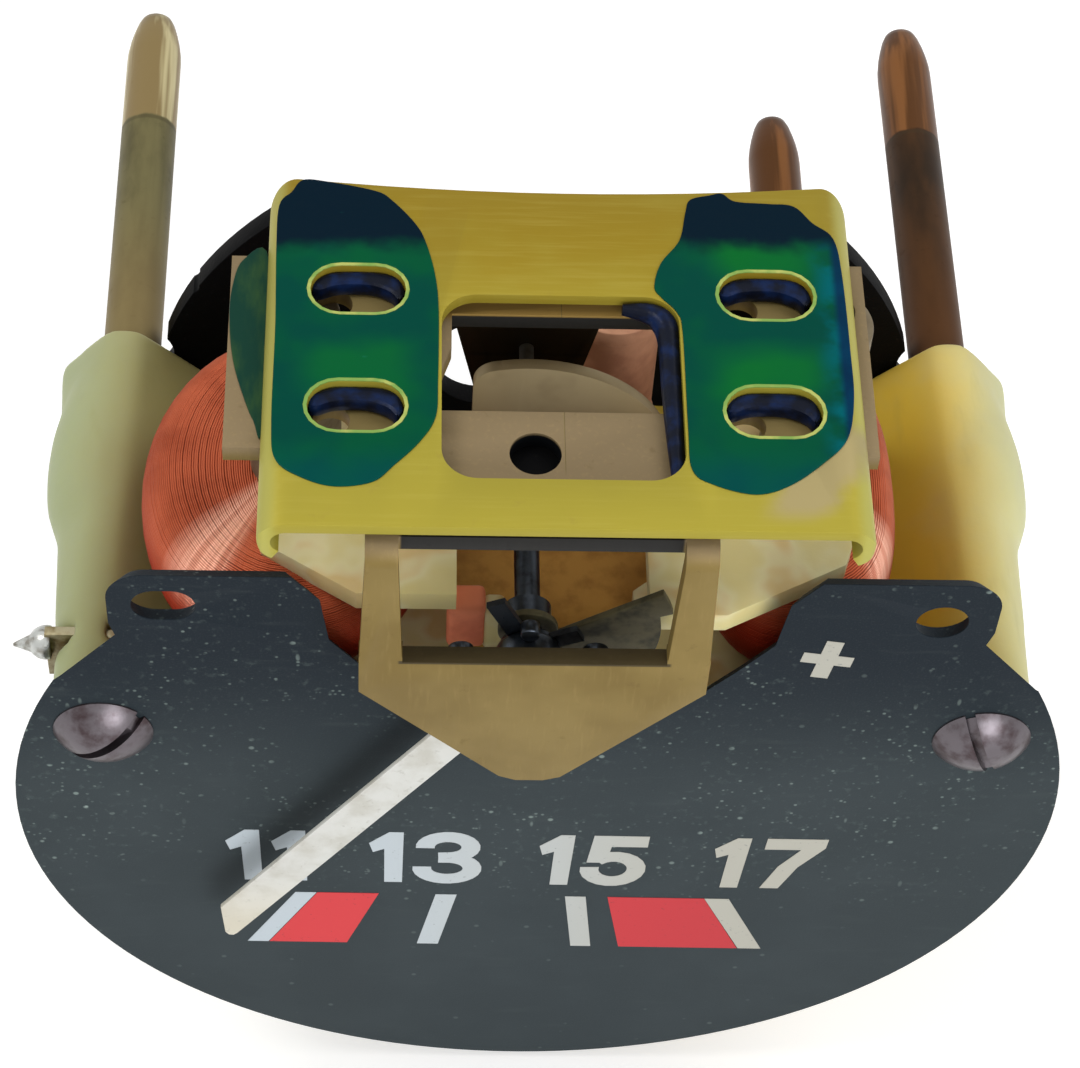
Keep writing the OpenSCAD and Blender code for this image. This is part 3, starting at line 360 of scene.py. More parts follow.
def tan_chromate():
    """Brownish chromate of the bracket, pinker on top, with painted shade that blackens its rear tongue, the
    window's edges, the sight hole and part of each slot's floor, and a painted highlight behind the window.
    """
    f = Finish("tan chromate", srgb(142, 120, 72), 0.5, 0.25)
    x, y, z = f.axis("X"), f.axis("Y"), f.axis("Z")
    height = z - LIFT
    drawn = f.noise(4.0, 4, stretch=(1, 1, 0.12))
    drift = f.noise(0.2, 3)
    spots = f.step(f.noise(1.1, 4, 0.65), 0.62, 0.74)
    base = f.mix(f.step(drift, 0.35, 0.68), srgb(138, 118, 68), srgb(124, 104, 56))
    base = f.mix(f.step(height, 10.0, 10.9), base, srgb(136, 118, 88))
    base = f.mix(f.step(drawn, 0.5, 0.78) * 0.15, base, srgb(180, 158, 108))
    base = f.mix(spots * 0.25, base, srgb(104, 84, 54))

    in_middle = f.fall(abs(x), 6, 7)
    # Painted highlight: a golden strip on the bracket's top behind the window.
    golden_highlight = f.step(y, 9.4, 9.9) * f.fall(y, 11.6, 12.2) * in_middle * f.step(height, 9.8, 10)
    base = f.mix(golden_highlight * 0.8, base, srgb(146, 116, 52))

    # Under each slot the bracket's top is yellower, and its left part is black: a painted shadow of the
    # slot's left wall.
    beside_slot = x + SLOT_X - 2 * SLOT_X * f.step(x, -0.1, 0.1)
    below = f.step(height, 10.6, 10.85) * f.fall(abs(beside_slot), 2.4, 2.7) * f.fall(abs(y - 6.9), 5.6, 6.2)
    base = f.mix(below * 0.8, base, srgb(134, 118, 70))
    base = f.mix(below * f.fall(beside_slot + 0.3 * drift, -0.9, -0.3) * 0.9, base, srgb(20, 20, 20))

    # Painted shade: the rear wall of the bracket's window and the bracket's front edge under the plate are
    # darkened as in shadow; sill darkens a line at 2.6 mm height across the window's width.
    rear_edge = f.step(y, 9.88, 9.94) * f.fall(y, 9.98, 10.04) * f.fall(height, 10.72, 10.82) * in_middle
    in_window = f.fall(abs(x - WINDOW_X), 6.05, 6.2)
    lip = f.fall(y, -1.5, -1.3) * f.step(height, 9.7, 9.95) * in_window
    sill = f.fall(abs(height - 2.6), 0.08, 0.16) * in_window
    base = f.mix((rear_edge + lip + sill * 0.75).at_most(1), base, srgb(34, 33, 31))

    # Painted shade: the sight hole's wall is made nearly black, as the inside of the hole lies in shade.
    from_hole_x, from_hole_y = x - SIGHT_HOLE[0], y - SIGHT_HOLE[1]
    wall = f.fall(from_hole_x * from_hole_x + from_hole_y * from_hole_y, 1.36, 1.5)
    base = f.mix(wall * f.fall(height, 10.7, 10.84), base, srgb(14, 16, 20))
    # Painted shade: the rear tongue's front face is made nearly black, as it lies in deep shadow.
    tongue = f.step(y, 13.1, 13.6) * f.fall(height, 9.2, 9.9)
    f.set("Base Color", f.mix(tongue * 0.96, base, srgb(20, 15, 12)))
    f.set("Roughness", 0.46 + 0.14 * drawn + 0.12 * spots)
    return f.bump(drawn * 0.6 + f.noise(5, 2) * 0.4, 0.01, 0.5)


def enamelled_copper():
    """Fine enamelled wire, with a broad band across the turns painted as a highlight, and deep red painted
    shade towards the foot.
    """
    f = Finish("copper wire", srgb(172, 88, 56), 0.36, 0.7)
    batch = f.noise(0.35, 3)
    tone = f.noise(3.5, 2, stretch=(1, 1, 2.4))
    base = f.mix(f.step(batch, 0.35, 0.7), srgb(186, 94, 62), srgb(160, 74, 46))
    base = f.mix(f.step(tone, 0.5, 0.8) * 0.25, base, srgb(200, 120, 86))
    x, y, z = f.axis("X"), f.axis("Y"), f.axis("Z")
    # Painted highlight: a broad band across the turns at the coil's front-left, broken into ragged streaks.
    radial = f.node("ShaderNodeMath", {"operation": "ARCTAN2"}, y - COIL_Y, abs(x) - LEFT_COIL_X)
    ragged = f.node("ShaderNodeTexNoise", {"noise_dimensions": "1D"}, None, radial, Scale=7.0, Detail=3.0)
    band = f.fall(abs(radial + 0.95 + 0.25 * (ragged - 0.5)), 0.06, 0.34)
    streaks = 0.45 + 0.55 * f.step(ragged, 0.4, 0.6)
    painted_highlight = band * streaks * f.step(z, LIFT - 4.6, LIFT - 2.0)
    base = f.mix(painted_highlight * 0.8, base, srgb(248, 196, 172))
    # Painted shade: deep red towards the foot, the colour the wire shows in shadow.
    lower = f.fall(z, LIFT - 5.0, LIFT - 1.2)
    f.set("Base Color", f.mix(lower * 0.85, base, srgb(176, 44, 22)))
    f.set("Roughness", 0.34 + 0.2 * tone - 0.12 * painted_highlight)
    return f.bump(f.noise(8, 2), 0.008, 0.4)


def dulled_steel(name, colour, dark, roughness, metallic=0.85):
    """Plain or plated steel with a cloudy tarnish and fine scratches."""
    f = Finish(name, colour, roughness, metallic)
    cloud = f.noise(0.9, 4)
    scratch = f.noise(5, 3, stretch=(1, 0.2, 1), turn=(0.3, 0.2, 0.7))
    base = f.mix(f.step(cloud, 0.4, 0.7), colour, dark)
    f.set("Base Color", base)
    f.set("Roughness", roughness - 0.08 + 0.18 * cloud + 0.12 * scratch)
    return f.bump(scratch, 0.012, 0.5)


def pin_metal(name, shank, shade, nose, glint):
    """Plug pin: a lighter nose with lengthwise glints painted as highlights, a dark ring and a tarnished
    shank.
    """
    f = Finish(name, shank, 0.45, 0.4)
    along = f.axis("Y")
    rings = f.noise(1.2, 3, stretch=(0.05, 1, 0.05))
    lengthwise = f.noise(0.9, 3, stretch=(1, 0.05, 1))
    cloud = f.noise(0.5, 4, stretch=(1, 0.35, 1))
    spots = f.step(f.noise(1.6, 4), 0.6, 0.74)
    base = f.mix(f.step(cloud, 0.35, 0.7), shank, shade)
    base = f.mix(f.step(lengthwise, 0.42, 0.66) * 0.45, base, shade)
    base = f.mix(spots * 0.3, base, shade)
    base = f.mix(f.fall(along, 25, 35) * 0.6, base, nose)
    bright = f.step(along + 0.5 * f.noise(0.9, 2), 39.5, 39.7)
    ring = f.step(along, 38.95, 39.1) * f.fall(along, 39.2, 39.35)
    # Painted highlight: lengthwise glint streaks on the nose.
    tip = f.mix(f.step(lengthwise, 0.46, 0.62), nose, glint)
    tip = f.mix(f.step(along, 46.4, 48.0) * 0.4, tip, shade)
    base = f.mix(bright, base, tip)
    f.set("Base Color", f.mix(ring * 0.35, base, srgb(60, 48, 30)))
    f.set("Roughness", 0.5 + 0.1 * spots - 0.12 * bright)
    return f.bump(rings, 0.012, 0.5)


def vane_iron():
    """Soft iron of the turning vane, dulled brown, lighter towards its top as a painted highlight and darker
    towards its foot as painted shade.
    """
    f = Finish("vane iron", srgb(104, 92, 68), 0.5, 0.3)
    # Painted light: lighter towards the lit top edge, darker towards the shaded foot.
    height = f.step(f.axis("Z"), LIFT - 1.0, LIFT + 6.5)
    cloud = f.noise(0.5, 2)
    base = f.mix(height, srgb(104, 82, 56), srgb(188, 170, 132))
    f.set("Base Color", f.mix(f.step(cloud, 0.45, 0.75) * 0.25, base, srgb(120, 102, 74)))
    f.set("Roughness", 0.42 + 0.2 * cloud)
    return f.bump(f.noise(3, 3), 0.01, 0.5)


def lacquer():
    """Thick locking lacquer: navy at the rear, green by the slots, blue along its right edge, with small
    pale flecks painted as glints.
    """
    f = Finish(
        "locking lacquer", srgb(4, 84, 66), 0.34,
        Coat_Weight=0.02, Coat_Roughness=0.2, Specular_IOR_Level=0.03,
    )
    x, y = f.axis("X"), f.axis("Y")
    cloud = f.noise(0.25, 2)
    blotch = f.step(f.noise(0.3, 2), 0.4, 0.68)
    base = f.mix(blotch, srgb(0, 70, 58), srgb(2, 82, 52))
    by_slot = f.fall(abs(abs(y + 2.2 * cloud - 10.2) - 3.4), 0.4, 2.2)
    by_slot = by_slot * f.fall(abs(abs(x) - SLOT_X), 1.2, 3.4)
    on_right = f.step(x, 0, 1)
    share = 0.1 + 0.5 * on_right + 0.35 * (1 - on_right) * f.fall(y, 7.5, 9.5)
    base = f.mix(by_slot * share, base, srgb(14, 116, 36))
    right = f.step(x + 1.6 * (cloud - 0.5), 11.0, 12.4) * f.step(f.noise(0.5, 3), 0.38, 0.6)
    base = f.mix(right * 0.8, base, srgb(0, 100, 112))
    base = f.mix(f.step(x, 12.1, 12.5) * 0.8, base, srgb(4, 32, 76))
    rear = f.step(y + 1.6 * (f.noise(0.5, 3) - 0.5) - 0.02 * x, 12.4, 13.7)
    base = f.mix(rear, base, srgb(3, 26, 40))
    front = f.fall(y + 1.5 * cloud, 0.2, 2.6)
    base = f.mix(front * 0.6, base, srgb(0, 74, 76))
    # Painted glints: small pale flecks standing in for highlights on the glossy lacquer.
    flecks = f.fall(f.cells(0.45, stretch=(1, 2.2, 1)), 0.04, 0.1) * f.step(f.noise(0.5, 2), 0.54, 0.62)
    base = f.mix(flecks * 0.5, base, srgb(60, 168, 150))
    f.set("Base Color", base)
    f.set("Roughness", 0.22 + 0.24 * cloud)
    return f.bump(f.noise(0.7, 3), 0.09, 0.5)


def deep_lacquer():
    """Lacquer lying deep: nearly black blue."""
    f = Finish("deep lacquer", srgb(12, 20, 42), 0.3, Specular_IOR_Level=0.12)
    cloud = f.noise(0.9, 3)
    f.set("Base Color", f.mix(f.step(cloud, 0.4, 0.68), srgb(8, 14, 30), srgb(14, 34, 74)))
    f.set("Roughness", 0.22 + 0.2 * cloud)
    return f.bump(f.noise(1.3, 3), 0.08, 0.5)


def thin_lacquer():
    """Edge of the lacquer round the slots, thin enough to show the yellow plate."""
    f = Finish("thin lacquer", srgb(156, 178, 66), 0.35, 0.1)
    front = f.fall(f.noise(0.7, 3), 0.42, 0.62)
    f.set("Base Color", f.mix(front, srgb(186, 192, 104), srgb(132, 168, 82)))
    f.set("Roughness", 0.26 + 0.2 * f.noise(1.5, 2))
    return f.bump(f.noise(2.0, 2), 0.03, 0.4)


def thin_green():
    """Thin smear of green lacquer over tan metal."""
    f = Finish("thin green lacquer", srgb(26, 66, 46), 0.4, Specular_IOR_Level=0.08)
    streak = f.noise(0.9, 4, stretch=(1, 0.3, 1))
    f.set("Base Color", f.mix(f.step(streak, 0.4, 0.7), srgb(16, 58, 46), srgb(48, 80, 46)))
    f.set("Roughness", 0.3 + 0.2 * streak)
    return f.bump(f.noise(1.2, 3), 0.05, 0.5)


def black_moulding():
    """Deep black moulding with a faint satin and a little dust."""
    f = Finish("black moulding", srgb(6, 6, 7), 0.6, Specular_IOR_Level=0.05)
    dust = f.step(f.noise(3, 4), 0.62, 0.76)
    f.set("Base Color", f.mix(dust * 0.1, srgb(5, 5, 6), srgb(70, 70, 68)))
    f.set("Roughness", 0.46 + 0.2 * f.noise(0.7, 3))
    return f.bump(f.noise(5, 3), 0.03, 0.5)


def salmon(name, pale, dark):
    """Salmon-coloured and slightly grainy, for the resistor's body and the lead's tape."""
    f = Finish(name, pale, 0.55)
    f.set("Base Color", f.mix(f.step(f.noise(0.5, 3), 0.4, 0.7), pale, dark))
    return f.bump(f.noise(4, 3), 0.04, 0.6)


def bright_solder():
    """Solder with a rippled, partly dulled skin."""
    f = Finish("bright solder", srgb(176, 178, 174), 0.25, 0.95)
    skin = f.noise(1.6, 3)
    f.set("Base Color", f.mix(f.step(skin, 0.4, 0.7), srgb(190, 192, 188), srgb(118, 112, 100)))
    f.set("Roughness", 0.18 + 0.3 * skin)
    return f.bump(skin, 0.08, 0.6)


FINISHES = {
    "dial": dial_paint(),
    "white_ink": print_ink("white ink", srgb(196, 206, 212), srgb(118, 124, 124), srgb(186, 184, 172)),
    "red_ink": print_ink("red ink", srgb(218, 70, 74), srgb(150, 62, 66), srgb(198, 62, 68)),
    "pointer": pointer_paint(),
    "nylon": nylon(),
    "former_nylon": former_nylon(),
    "calibration": chromate(),
    "bracket": tan_chromate(),
    "yoke": dulled_steel("gold chromate", srgb(200, 150, 72), srgb(178, 130, 62), 0.5, 0.2),
    "copper": enamelled_copper(),
    "screws": dulled_steel("burnished screws", srgb(104, 98, 102), srgb(70, 58, 60), 0.28),
    "steel": dulled_steel("plain steel", srgb(150, 148, 142), srgb(124, 119, 110), 0.35),
    "spindle_steel": dulled_steel("dark spindle steel", srgb(70, 76, 84), srgb(40, 42, 46), 0.25),
    "iron": dulled_steel("soft iron", srgb(130, 119, 98), srgb(110, 98, 78), 0.5, 0.6),
    "vane_iron": vane_iron(),
    "brass": dulled_steel("turned brass", srgb(176, 144, 78), srgb(116, 90, 44), 0.3),
    "dark_brass": dulled_steel("tarnished brass", srgb(104, 82, 48), srgb(62, 48, 30), 0.4, 0.5),
    "dark_sheet": dulled_steel("dark vane sheet", srgb(96, 90, 66), srgb(60, 58, 46), 0.5, 0.4),
    "spring": dulled_steel("blued spring", srgb(78, 88, 104), srgb(50, 54, 66), 0.28),
    "tag": dulled_steel("tinned tag", srgb(170, 162, 132), srgb(116, 96, 58), 0.36),
    "pin_nickel": pin_metal(
        "pin, left", srgb(118, 111, 74), srgb(88, 82, 54), srgb(142, 122, 80), srgb(210, 198, 152),
    ),
    "pin_brass": pin_metal(
        "pins, right", srgb(68, 44, 22), srgb(42, 28, 14), srgb(88, 54, 24), srgb(130, 84, 44),
    ),
    "lacquer": lacquer(),
    "deep_lacquer": deep_lacquer(),
    "thin_lacquer": thin_lacquer(),
    "thin_green": thin_green(),
    "black": black_moulding(),
    "resistor": salmon("salmon ceramic", srgb(222, 166, 132), srgb(198, 142, 112)),
    "tape": salmon("salmon tape", srgb(255, 152, 112), srgb(232, 128, 94)),
    "solder": bright_solder(),
}


# Pieces


def paint(piece, finish):
    piece.data.materials.clear()
    piece.data.materials.append(FINISHES[finish].material)


def add_mesh(name, mesh, finish, body=FIXED, smooth_angle=35):
    """Makes an object from a mesh, smooth but for its sharp edges, and sets it on its body."""
    for face in mesh.polygons:
        face.use_smooth = True
    mesh.set_sharp_from_angle(angle=math.radians(smooth_angle))
    piece = bpy.data.objects.new(name, mesh)
    bpy.context.scene.collection.objects.link(piece)
    paint(piece, finish)
    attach(piece, body)
    return piece


def add_piece(name, bm, finish, body=FIXED, smooth_angle=35):
    """Makes an object from a bmesh."""
    mesh = bpy.data.meshes.new(name)
    bm.to_mesh(mesh)
    bm.free()
    return add_mesh(name, mesh, finish, body, smooth_angle)


def merged_node(node):
    """A CAD node's mesh as a bmesh with its corners joined and its flat faces whole."""
    bm = bmesh.new()
    bm.from_mesh(frame["nodes"][node].data)
    bmesh.ops.remove_doubles(bm, verts=bm.verts, dist=0.002 * MM)
    bmesh.ops.dissolve_limit(bm, angle_limit=math.radians(0.6), verts=bm.verts, edges=bm.edges)
    return bm


def sharp_edges(bm, least_angle=32):
    """Edges whose two faces meet at more than an angle in degrees."""
    least = math.radians(least_angle)
    return [e for e in bm.edges if len(e.link_faces) == 2 and e.calc_face_angle() > least]


def ease(bm, edges, width, segments=2):
    """Rounds edges over a width in millimetres."""
    bmesh.ops.bevel(
        bm, geom=edges, offset=width * MM, offset_type="OFFSET", affect="EDGES",
        segments=segments, profile=0.5, clamp_overlap=True, material=-1,
    )
    bmesh.ops.recalc_face_normals(bm, faces=bm.faces)


def halve(bm, point, normal, **sides):
    """Cuts every face of a bmesh along a plane, given in metres."""
    bmesh.ops.bisect_plane(
        bm, geom=bm.verts[:] + bm.edges[:] + bm.faces[:], dist=0.0001 * MM,
        plane_co=point, plane_no=normal, **sides,
    )


def trim(bm, point, outward):
    """Cuts a closed bmesh along a plane, drops what lies outward, and closes it again."""
    halve(bm, point, outward, clear_outer=True)
    bmesh.ops.holes_fill(bm, edges=[e for e in bm.edges if e.is_boundary])


def rounded(node, width, finish, slot, body):
    """A CAD node with its sharp edges rounded, shown in that node's place."""
    bm = merged_node(node)
    ease(bm, sharp_edges(bm), width)
    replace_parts(add_piece(node + "_rounded", bm, finish, body, 40), node)


def moulded(node, finish, cell=0.3, passes=30, kept_share=0.35):
    """A CAD node remade as one soft-edged moulding, with a skin of small cells."""
    bm = merged_node(node)
    bmesh.ops.triangulate(bm, faces=bm.faces)
    piece = add_piece(node + "_moulded", bm, finish, FIXED, 180)
    remesh = piece.modifiers.new("skin", "REMESH")
    remesh.mode = "VOXEL"
    remesh.voxel_size = cell * MM
    remesh.use_smooth_shade = True
    smooth = piece.modifiers.new("soft edges", "SMOOTH")
    smooth.factor = 0.5
    smooth.iterations = passes
    fewer = piece.modifiers.new("fewer faces", "DECIMATE")
    fewer.ratio = kept_share
    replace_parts(piece, node)


def curve_mesh(curve):
    """The mesh of a curve, which itself isn't kept."""
    holder = bpy.data.objects.new("holder", curve)
    mesh = bpy.data.meshes.new_from_object(holder)
    bpy.data.objects.remove(holder)
    return mesh


def lathe(profile, x, z):
    """A shape turned about the Y axis through (x, z), from its (radius, y) profile, as a bmesh."""
    bm = bmesh.new()
    line = [bm.verts.new((radius * MM, y * MM, 0)) for radius, y in profile]
    edges = [bm.edges.new(pair) for pair in zip(line, line[1:])]
    bmesh.ops.spin(
        bm, geom=line + edges, cent=(0, 0, 0), axis=(0, 1, 0), angle=math.tau, steps=40, use_merge=True,
    )
    bmesh.ops.remove_doubles(bm, verts=bm.verts, dist=0.002 * MM)
    bmesh.ops.recalc_face_normals(bm, faces=bm.faces)
    bmesh.ops.translate(bm, vec=at(x, 0, z), verts=bm.verts)
    return bm


PIN = [
    # radius and distance from the dial's front face
    (0, 3.9), (0.9, 3.9), (1.1, 4.1), (1.1, 23.5), (1.5, 23.5), (1.5, 44.6), (1.47, 45.2), (1.38, 45.9),
    (1.24, 46.6), (1.06, 47.3), (0.9, 47.7), (0.7, 47.85), (0, 47.87),
]
PINS = {
    "terminal_pin_left": (-21.26, -8.65, "pin_nickel"),
    "terminal_pin_right": (21.26, -8.65, "pin_brass"),
    "terminal_pin_lower": (14.6, -16.0, "pin_brass"),
}

for pin_node, (pin_x, pin_z, pin_finish) in PINS.items():
    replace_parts(add_piece(pin_node + "_turned", lathe(PIN, pin_x, pin_z), pin_finish), pin_node)


# Screws of the dial: domed heads with a slot

HEAD_R, HEAD_H, SLOT = 2.4, 1.3, 0.5
WASHER_H = 0.08
DOME_A = math.radians(52)


def dome_point(angle):
    """Radius and place along Y of a point on the head's dome, at an angle from its axis."""
    rise = (math.cos(angle) - math.cos(DOME_A)) / (1 - math.cos(DOME_A))
    return HEAD_R * math.sin(angle) / math.sin(DOME_A), -WASHER_H - (HEAD_H - WASHER_H) * rise


DOME = [dome_point(math.radians(angle)) for angle in range(0, 53, 4)] + [(HEAD_R, 0.0), (0, 0.0)]
SHANK = [(0, -0.6), (1.7, -0.6), (2.1, -0.04), (1.15, -0.04), (1.15, 3.4), (0, 3.4)]


def screw(bm, x, z, turn):
    """Adds a domed screw to a bmesh: two halves of a head either side of the slot, and a shank."""
    parts = [lathe(SHANK, 0, -LIFT)]
    for side in (1, -1):
        half = lathe(DOME, 0, -LIFT)
        trim(half, (0, 0, side * SLOT / 2 * MM), (0, 0, -side))
        bmesh.ops.recalc_face_normals(half, faces=half.faces)
        parts.append(half)
    for part in parts:
        place = Matrix.Translation(at(x, 0, z)) @ Matrix.Rotation(math.radians(-turn), 4, "Y")
        bmesh.ops.transform(part, matrix=place, verts=part.verts)
        mesh = bpy.data.meshes.new("part")
        part.to_mesh(mesh)
        part.free()
        bm.from_mesh(mesh)
        bpy.data.meshes.remove(mesh)


both_screws = bmesh.new()
for screw_place, screw_turn in zip(SCREWS, (38, -68)):
    screw(both_screws, *screw_place, screw_turn)
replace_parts(add_piece("dial_screws_domed", both_screws, "screws"), "dial_screws")


# Plates and formers, eased and cut as the worn ones are


def thin_edged_dial():
    """The dial plate, its edges drawn in towards the back so that it looks as thin as it was cut."""
    bm = merged_node("dial_plate")
    back = max(v.co.y for v in bm.verts)
    moves = []
    for v in bm.verts:
        sides = [face.normal for face in v.link_faces if abs(face.normal.y) < 0.5]
        if v.co.y < back - 0.01 * MM or not sides:
            continue
        outward = sum(sides, Vector()).normalized()
        place = (v.co.x / MM, v.co.z / MM - LIFT)
        at_hole = any(math.dist(place, hole) < 2.4 for hole in EAR_HOLES + SCREWS)
        moves.append((v, -outward * (0.3 if at_hole else 0.65) * MM / max(0.6, outward.dot(sides[0]))))
    for v, move in moves:
        v.co += move
    bm.normal_update()
    ease(bm, [e for e in sharp_edges(bm, 40) if max(v.co.y for v in e.verts) < 0.01 * MM], 0.08)
    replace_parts(add_piece("dial_plate_thin_edged", bm, "dial", FIXED, 30), "dial_plate")


def cut_former(side, front_y, x0, y0, x1, y1):
    """A coil former with its front corner cut off along a line, so that the winding shows below it."""
    node = "coil_former_" + side
    bm = merged_node(node)
    trim(bm, at(x0, y0, 0), Vector((math.copysign(y0 - y1, x0), -abs(x1 - x0), 0)).normalized())
    trim(bm, at(x0, front_y, 0), (0, -1, 0))
    ease(bm, sharp_edges(bm), 0.2)
    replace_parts(add_piece(node + "_cut", bm, "former_nylon", FIXED, 40), node)


def sagging_plate():
    """The calibration plate, its rear edge drawn in a little at the middle, with eased edges."""
    node = "calibration_plate"
    bm = merged_node(node)
    for x in range(-10, 11, 2):
        halve(bm, at(x, 0, 0), (1, 0, 0))
    for v in bm.verts:
        if v.co.y > 14 * MM:
            v.co.y -= 0.6 * MM * max(0, 1 - (v.co.x / MM / 12) ** 2)
    ease(bm, sharp_edges(bm), 0.12)
    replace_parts(add_piece(node + "_eased", bm, "calibration", FIXED, 40), node)


thin_edged_dial()
cut_former("left", 1.9, -13.07, 4.4, -9.24, 1.95)
cut_former("right", 0.9, 13.07, 3.5, 8.07, 0.9)
sagging_plate()


def soft_block(name, low, high, finish):
    """A small block with soft edges between two corners."""
    bm = bmesh.new()
    bmesh.ops.create_cube(bm, size=1)
    bmesh.ops.scale(bm, vec=at(*high) - at(*low), verts=bm.verts)
    bmesh.ops.translate(bm, vec=(at(*low) + at(*high)) / 2, verts=bm.verts)
    ease(bm, bm.edges[:], 0.3, 3)
    add_piece(name, bm, finish, FIXED, 50)


soft_block("lead_tape", (-4.9, 1.95, -4.2), (-3.1, 3.4, -0.85), "tape")
soft_block("lead_peg", (-3.2, 2.0, -4.4), (-2.15, 3.2, -1.3), "former_nylon")

ROUNDED = [
    # node, width of the rounding, finish, slot, body
    ("bearing_bracket", 0.12, "bracket", "bracket", FIXED),
    ("lower_yoke", 0.12, "yoke", "bracket", FIXED),
    ("rear_plate", 0.18, "black", "black", FIXED),
    ("yoke_screws", 0.08, "steel", "steel", FIXED),
    ("rear_plate_screws", 0.08, "steel", "steel", FIXED),
    ("rear_bearing_screw", 0.06, "brass", "brass", FIXED),
    ("rear_bearing_nut", 0.1, "steel", "steel", FIXED),
    ("series_resistor", 0.2, "resistor", "resistor", FIXED),
    ("solder_tag", 0.06, "tag", "tag", FIXED),
    ("iron_core_left", 0.1, "iron", "iron", FIXED),
    ("iron_core_right", 0.1, "iron", "iron", FIXED),
    ("pointer_hub", 0.12, "spindle_steel", "brass", MOVING),
    ("iron_vane", 0.08, "vane_iron", "iron", MOVING),
    ("damping_vane", 0.05, "dark_sheet", "sheet", MOVING),
    ("balance_weights", 0.1, "spindle_steel", "solder", MOVING),
]

PAINTED = {
    "solder_joint": "solder",
    "spindle": "spindle_steel",
    "pointer_stops": "brass",
    "balance_arms": "spindle_steel",
    "vane_bush": "spindle_steel",
    "hairspring": "spring",
    "hairspring_collet": "brass",
    "hairspring_stud": "steel",
    "front_bearing": "dark_brass",
    "resistor_leads": "solder",
}

for row in ROUNDED:
    rounded(*row)

for node_name, finish_name in PAINTED.items():
    paint(frame["nodes"][node_name], finish_name)

moulded("frame_moulding", "nylon")


# Coils: an inner body and one long fine wire laid over it, turn by turn

COIL_TOP, COIL_BOTTOM = -0.76, -8.0
SECTION_POWER = 2.7
WIRE_D = 0.13
LAP = 0.86
MOST_SLIP = 0.16


def power_of(value, power):
    """A sine or cosine bent for an oval with fuller corners than an ellipse."""
    return math.copysign(abs(value) ** (2 / power), value)


class Coil:
    """An oval winding round the Z axis, with a rounded cross-section.

    draw is how far its middle stands out past its ends, lean how far its foot is drawn in,
    and inner the depth of the section.
    """

    def __init__(self, x, width, depth, squareness, draw, lean, inner):
        self.x = x
        self.width, self.depth = width, depth
        self.squareness = squareness
        middle, half = (COIL_TOP + COIL_BOTTOM) / 2, (COIL_TOP - COIL_BOTTOM) / 2
        self.profile = [(inner, COIL_BOTTOM)]
        for level in range(-90, 91, 6):
            out = power_of(math.cos(math.radians(level)), SECTION_POWER)
            up = power_of(math.sin(math.radians(level)), SECTION_POWER)
            drawn_in = lean * up * up if up < 0 else 0
            self.profile.append((draw * (1 - out) + drawn_in, middle + half * up))
        self.profile.append((inner, COIL_TOP + 0.02))
        self.marks = [0]
        for a, b in zip(self.profile, self.profile[1:]):
            self.marks.append(self.marks[-1] + math.dist(a, b))

    def surface(self, share, turn, below=0.0):
        """Point at a share of the way round the section, from the lower to the upper inner edge."""
        reach = share * self.marks[-1]
        index = max(i for i, mark in enumerate(self.marks[:-1]) if mark <= reach)
        part = (reach - self.marks[index]) / (self.marks[index + 1] - self.marks[index])
        (inset0, z0), (inset1, z1) = self.profile[index], self.profile[index + 1]
        inset = inset0 + (inset1 - inset0) * part + below
        z = z0 + (z1 - z0) * part
        z -= below * (z - (COIL_TOP + 0.02 + COIL_BOTTOM) / 2) / 3.6
        angle = math.radians(turn)
        x = self.x + (self.width / 2 - inset) * power_of(math.cos(angle), self.squareness)
        y = COIL_Y + (self.depth / 2 - inset) * power_of(math.sin(angle), self.squareness)
        return at(x, y, z)


def coil_body(coil, name):
    """Solid under the wire, from a cylinder whose rings are set to the coil's section."""
    bm = bmesh.new()
    bmesh.ops.create_cone(bm, cap_ends=True, segments=72, radius1=1, radius2=1, depth=2)
    upright = [e for e in bm.edges if abs(e.verts[0].co.z - e.verts[1].co.z) > 1]
    bmesh.ops.subdivide_edges(bm, edges=upright, cuts=40, use_grid_fill=True)
    for v in bm.verts:
        turn = math.degrees(math.atan2(v.co.y, v.co.x))
        v.co = coil.surface(0.5 + v.co.z / 2, turn, below=0.012)
    bmesh.ops.recalc_face_normals(bm, faces=bm.faces)
    piece = add_piece(name + "_body", bm, "copper", smooth_angle=60)
    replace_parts(piece, name, name + "_turns")


def coil_wire(coil, name, seed, steps=48):
    """One unbroken wire from the lower edge to the upper one, each turn against the last."""
    dice = random.Random(seed)
    turns = int(coil.marks[-1] / (WIRE_D * LAP))
    slips = [dice.uniform(-MOST_SLIP, MOST_SLIP) for _ in range(turns + 2)]
    points = []
    for i in range(turns * steps + 1):
        done = i / steps
        whole = int(done)
        part = done - whole
        slip = slips[whole] * (1 - part) + slips[whole + 1] * part
        share = (done + slip) / turns
        points.append(coil.surface(max(0, min(1, share)), 360 * done + 200))
    curve = bpy.data.curves.new(name, "CURVE")
    curve.dimensions = "3D"
    curve.bevel_depth = WIRE_D / 2 * MM
    curve.bevel_resolution = 1
    spline = curve.splines.new("POLY")
    spline.points.add(len(points) - 1)
    for point, place in zip(spline.points, points):
        point.co = (*place, 1)
    add_mesh(name + "_wire", curve_mesh(curve), "copper", smooth_angle=80)


COILS = {
    "winding_left": (Coil(-LEFT_COIL_X, 14.5, 18.4, 2.0, 3.4, 1.2, 5.8), 3),
    "winding_right": (Coil(RIGHT_COIL_X, 9.7, 15.8, 2.6, 1.6, 0.3, 3.0), 4),
}

for coil_name, (coil, coil_seed) in COILS.items():
    coil_body(coil, coil_name)
    coil_wire(coil, coil_name, coil_seed)


# Print on the dial, a little askew as it was printed


